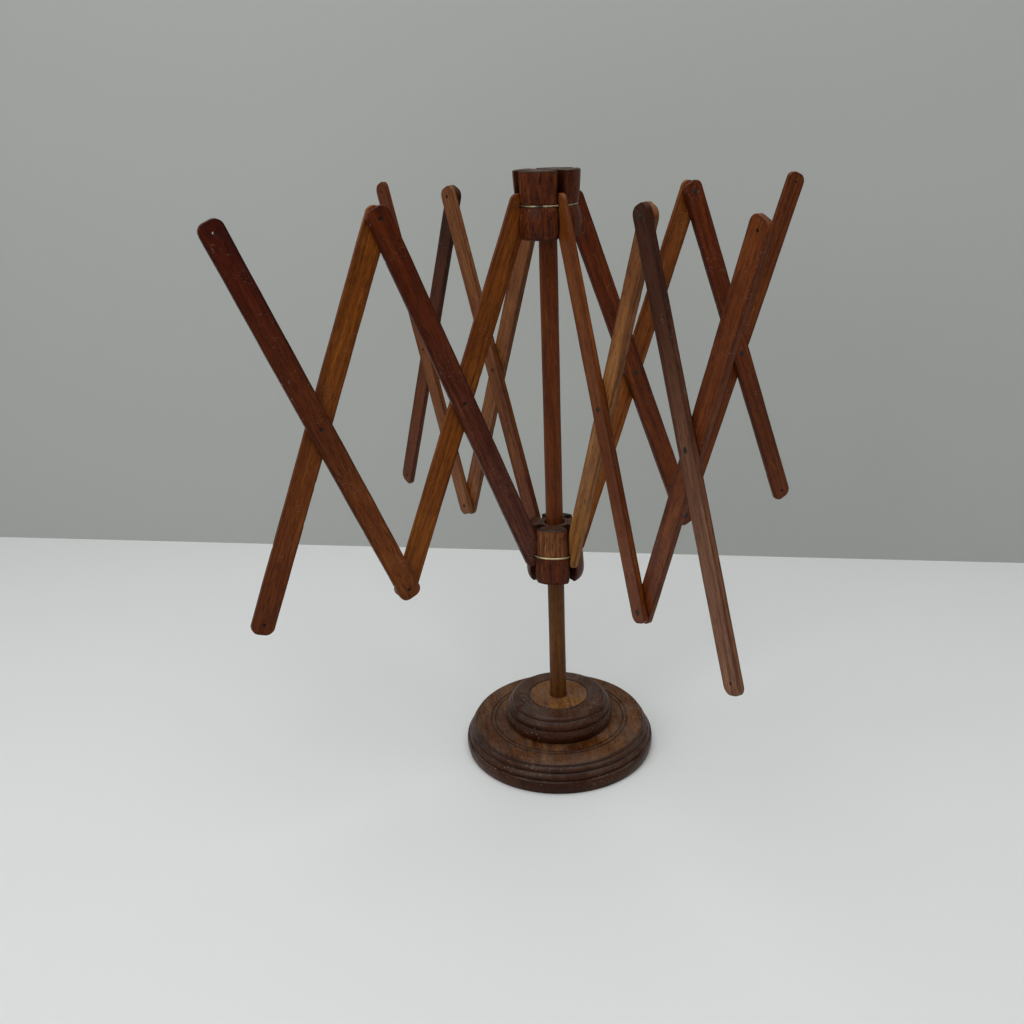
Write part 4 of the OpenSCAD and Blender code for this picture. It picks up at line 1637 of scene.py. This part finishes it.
@dataclass
class Studio:
    """A pale floor, a plain grey backdrop, soft light from above and the camera.

    Attributes:
        distance: from the pole to the camera along the floor.
        bearing: the camera's bearing from the pole.
        height: the camera's height.
        heading: the way the camera looks, as a bearing.
        pitch: how far it looks down.
        roll: how far it leans.
        lens: focal length on the sensor, in millimetres.
        sensor: width of the sensor, in millimetres.
        wall: distance from the pole to the backdrop.
        wall_heading: bearing of the backdrop from the pole.
    """

    distance: float = 0.9049
    bearing: float = 238.23
    height: float = 0.5937
    heading: float = 60.71
    pitch: float = 20.93
    roll: float = -2.21
    lens: float = 36.72
    sensor: float = 36.0
    wall: float = 0.4806
    wall_heading: float = 51.41

    def build(self) -> None:
        """Sets up the stage, the lights and the camera."""
        self._floor()
        self._backdrop()
        self._lights()
        self._camera()

    def _sheet(self, name: str, corners: Array, colour: Colour, one_sided: bool = False) -> None:
        """A flat stage sheet of one soft colour, seen through from behind if it is one-sided."""
        mesh = bpy.data.meshes.new(name)
        mesh.from_pydata(corners, [], [(0, 1, 2, 3)])
        sheet = bpy.data.objects.new(name, mesh)
        bpy.context.scene.collection.objects.link(sheet)
        material, graph, shader = start_material(name)
        shader.inputs["Base Color"].default_value = (*colour, 1.0)
        shader.inputs["Roughness"].default_value = 0.6
        if one_sided:
            clear = graph.node("BsdfTransparent").outputs[0]
            behind = graph.node("NewGeometry").outputs["Backfacing"]
            mixed = graph.node("MixShader", {0: behind, 1: shader.outputs[0], 2: clear}).outputs[0]
            graph.feed(graph.tree.nodes["Material Output"], {"Surface": mixed})
        mesh.materials.append(material)

    def _floor(self) -> None:
        """The table's pale top."""
        reach = 3.0
        corners = np.array([[-1, -1, 0], [1, -1, 0], [1, 1, 0], [-1, 1, 0]]) * reach
        self._sheet("floor", corners, linear(226, 228, 226))

    def _backdrop(self) -> None:
        """A grey sheet behind the rack."""
        heading = math.radians(self.wall_heading)
        away = np.array([math.cos(heading), math.sin(heading), 0.0])
        side = np.cross(away, UP)
        foot = away * self.wall
        wide, tall = 2.2, 1.8
        left, right = foot - side * wide, foot + side * wide
        corners = np.array([left, right, right + UP * tall, left + UP * tall])
        self._sheet("backdrop", corners, linear(176, 178, 173), one_sided=True)

    def _lights(self) -> None:
        """A wide softbox overhead, a weak one on the camera's left, and an even pale world."""
        for name, place, target, size, power in (
            ("overhead", (-0.25, -0.35, 2.3), (0.0, 0.0, 0.2), 2.4, 38.0),
            ("fill", (-2.0, -0.4, 1.3), (0.0, 0.0, 0.3), 1.0, 8.0),
        ):
            light = bpy.data.lights.new(name, "AREA")
            light.size = size
            light.energy = power
            lamp = bpy.data.objects.new(name, light)
            aim = Vector(place) - Vector(target)
            lamp.matrix_world = Matrix.Translation(place) @ aim.to_track_quat("Z", "Y").to_matrix().to_4x4()
            bpy.context.scene.collection.objects.link(lamp)
        world = bpy.data.worlds.new("studio")
        world.use_nodes = True
        sky = world.node_tree.nodes["Background"]
        sky.inputs["Color"].default_value = (0.92, 0.95, 1.0, 1.0)
        sky.inputs["Strength"].default_value = 0.3
        bpy.context.scene.world = world
        bpy.context.scene.view_settings.view_transform = "Standard"

    def _camera(self) -> None:
        """The camera: its third axis points back along its line of sight, and it leans by its roll."""
        heading, pitch, roll = (math.radians(angle) for angle in (self.heading, self.pitch, self.roll))
        bearing = math.radians(self.bearing)
        ahead = np.array([
            math.cos(heading) * math.cos(pitch), math.sin(heading) * math.cos(pitch), -math.sin(pitch)
        ])
        right = np.array([math.sin(heading), -math.cos(heading), 0.0])
        above = np.cross(right, ahead)
        axes = np.stack([
            right * math.cos(roll) + above * math.sin(roll),
            above * math.cos(roll) - right * math.sin(roll),
            -ahead,
        ], 1)
        data = bpy.data.cameras.new("camera")
        data.lens = self.lens
        data.sensor_width = self.sensor
        data.clip_start = 0.01
        camera = bpy.data.objects.new("camera", data)
        place = (self.distance * math.cos(bearing), self.distance * math.sin(bearing), self.height)
        matrix = np.eye(4)
        matrix[:3, :3] = axes
        matrix[:3, 3] = place
        camera.matrix_world = Matrix(matrix.tolist())
        bpy.context.scene.collection.objects.link(camera)
        bpy.context.scene.camera = camera


# ---------------------------------------------------------------- the rack


ARM_STAINS: dict[int, dict[str, tuple[Stain, Stain]]] = {
    1: {
        "inner_down": (Stain.CHESTNUT, Stain.AMBER),
        "inner_up": (Stain.MAHOGANY, Stain.EBONY),
        "outer_up": (Stain.OXBLOOD, Stain.CHESTNUT),
        "outer_down": (Stain.AMBER, Stain.RUSSET),
    },
    2: {
        "inner_down": (Stain.CHESTNUT, Stain.RUSSET),
        "inner_up": (Stain.UMBER, Stain.HONEY),
        "outer_up": (Stain.RUSSET, Stain.RUSSET),
        "outer_down": (Stain.PLUM, Stain.FAWN),
    },
    3: {
        "inner_down": (Stain.MAHOGANY, Stain.RUSSET),
        "inner_up": (Stain.CHESTNUT, Stain.AMBER),
        "outer_up": (Stain.RUSSET, Stain.RUSSET),
        "outer_down": (Stain.MAHOGANY, Stain.RUSSET),
    },
    4: {
        "inner_down": (Stain.UMBER, Stain.UMBER),
        "inner_up": (Stain.UMBER, Stain.RUSSET),
        "outer_up": (Stain.RUSSET, Stain.UMBER),
        "outer_down": (Stain.PLUM, Stain.RUSSET),
    },
}


def main() -> None:
    """Builds the rack and its studio."""
    logging.basicConfig(level=logging.INFO, format="%(name)s: %(message)s")
    Studio().build()
    Stand().build()
    for number, stains in ARM_STAINS.items():
        Arm(number, stains).build()


if __name__ == "__main__":
    main()
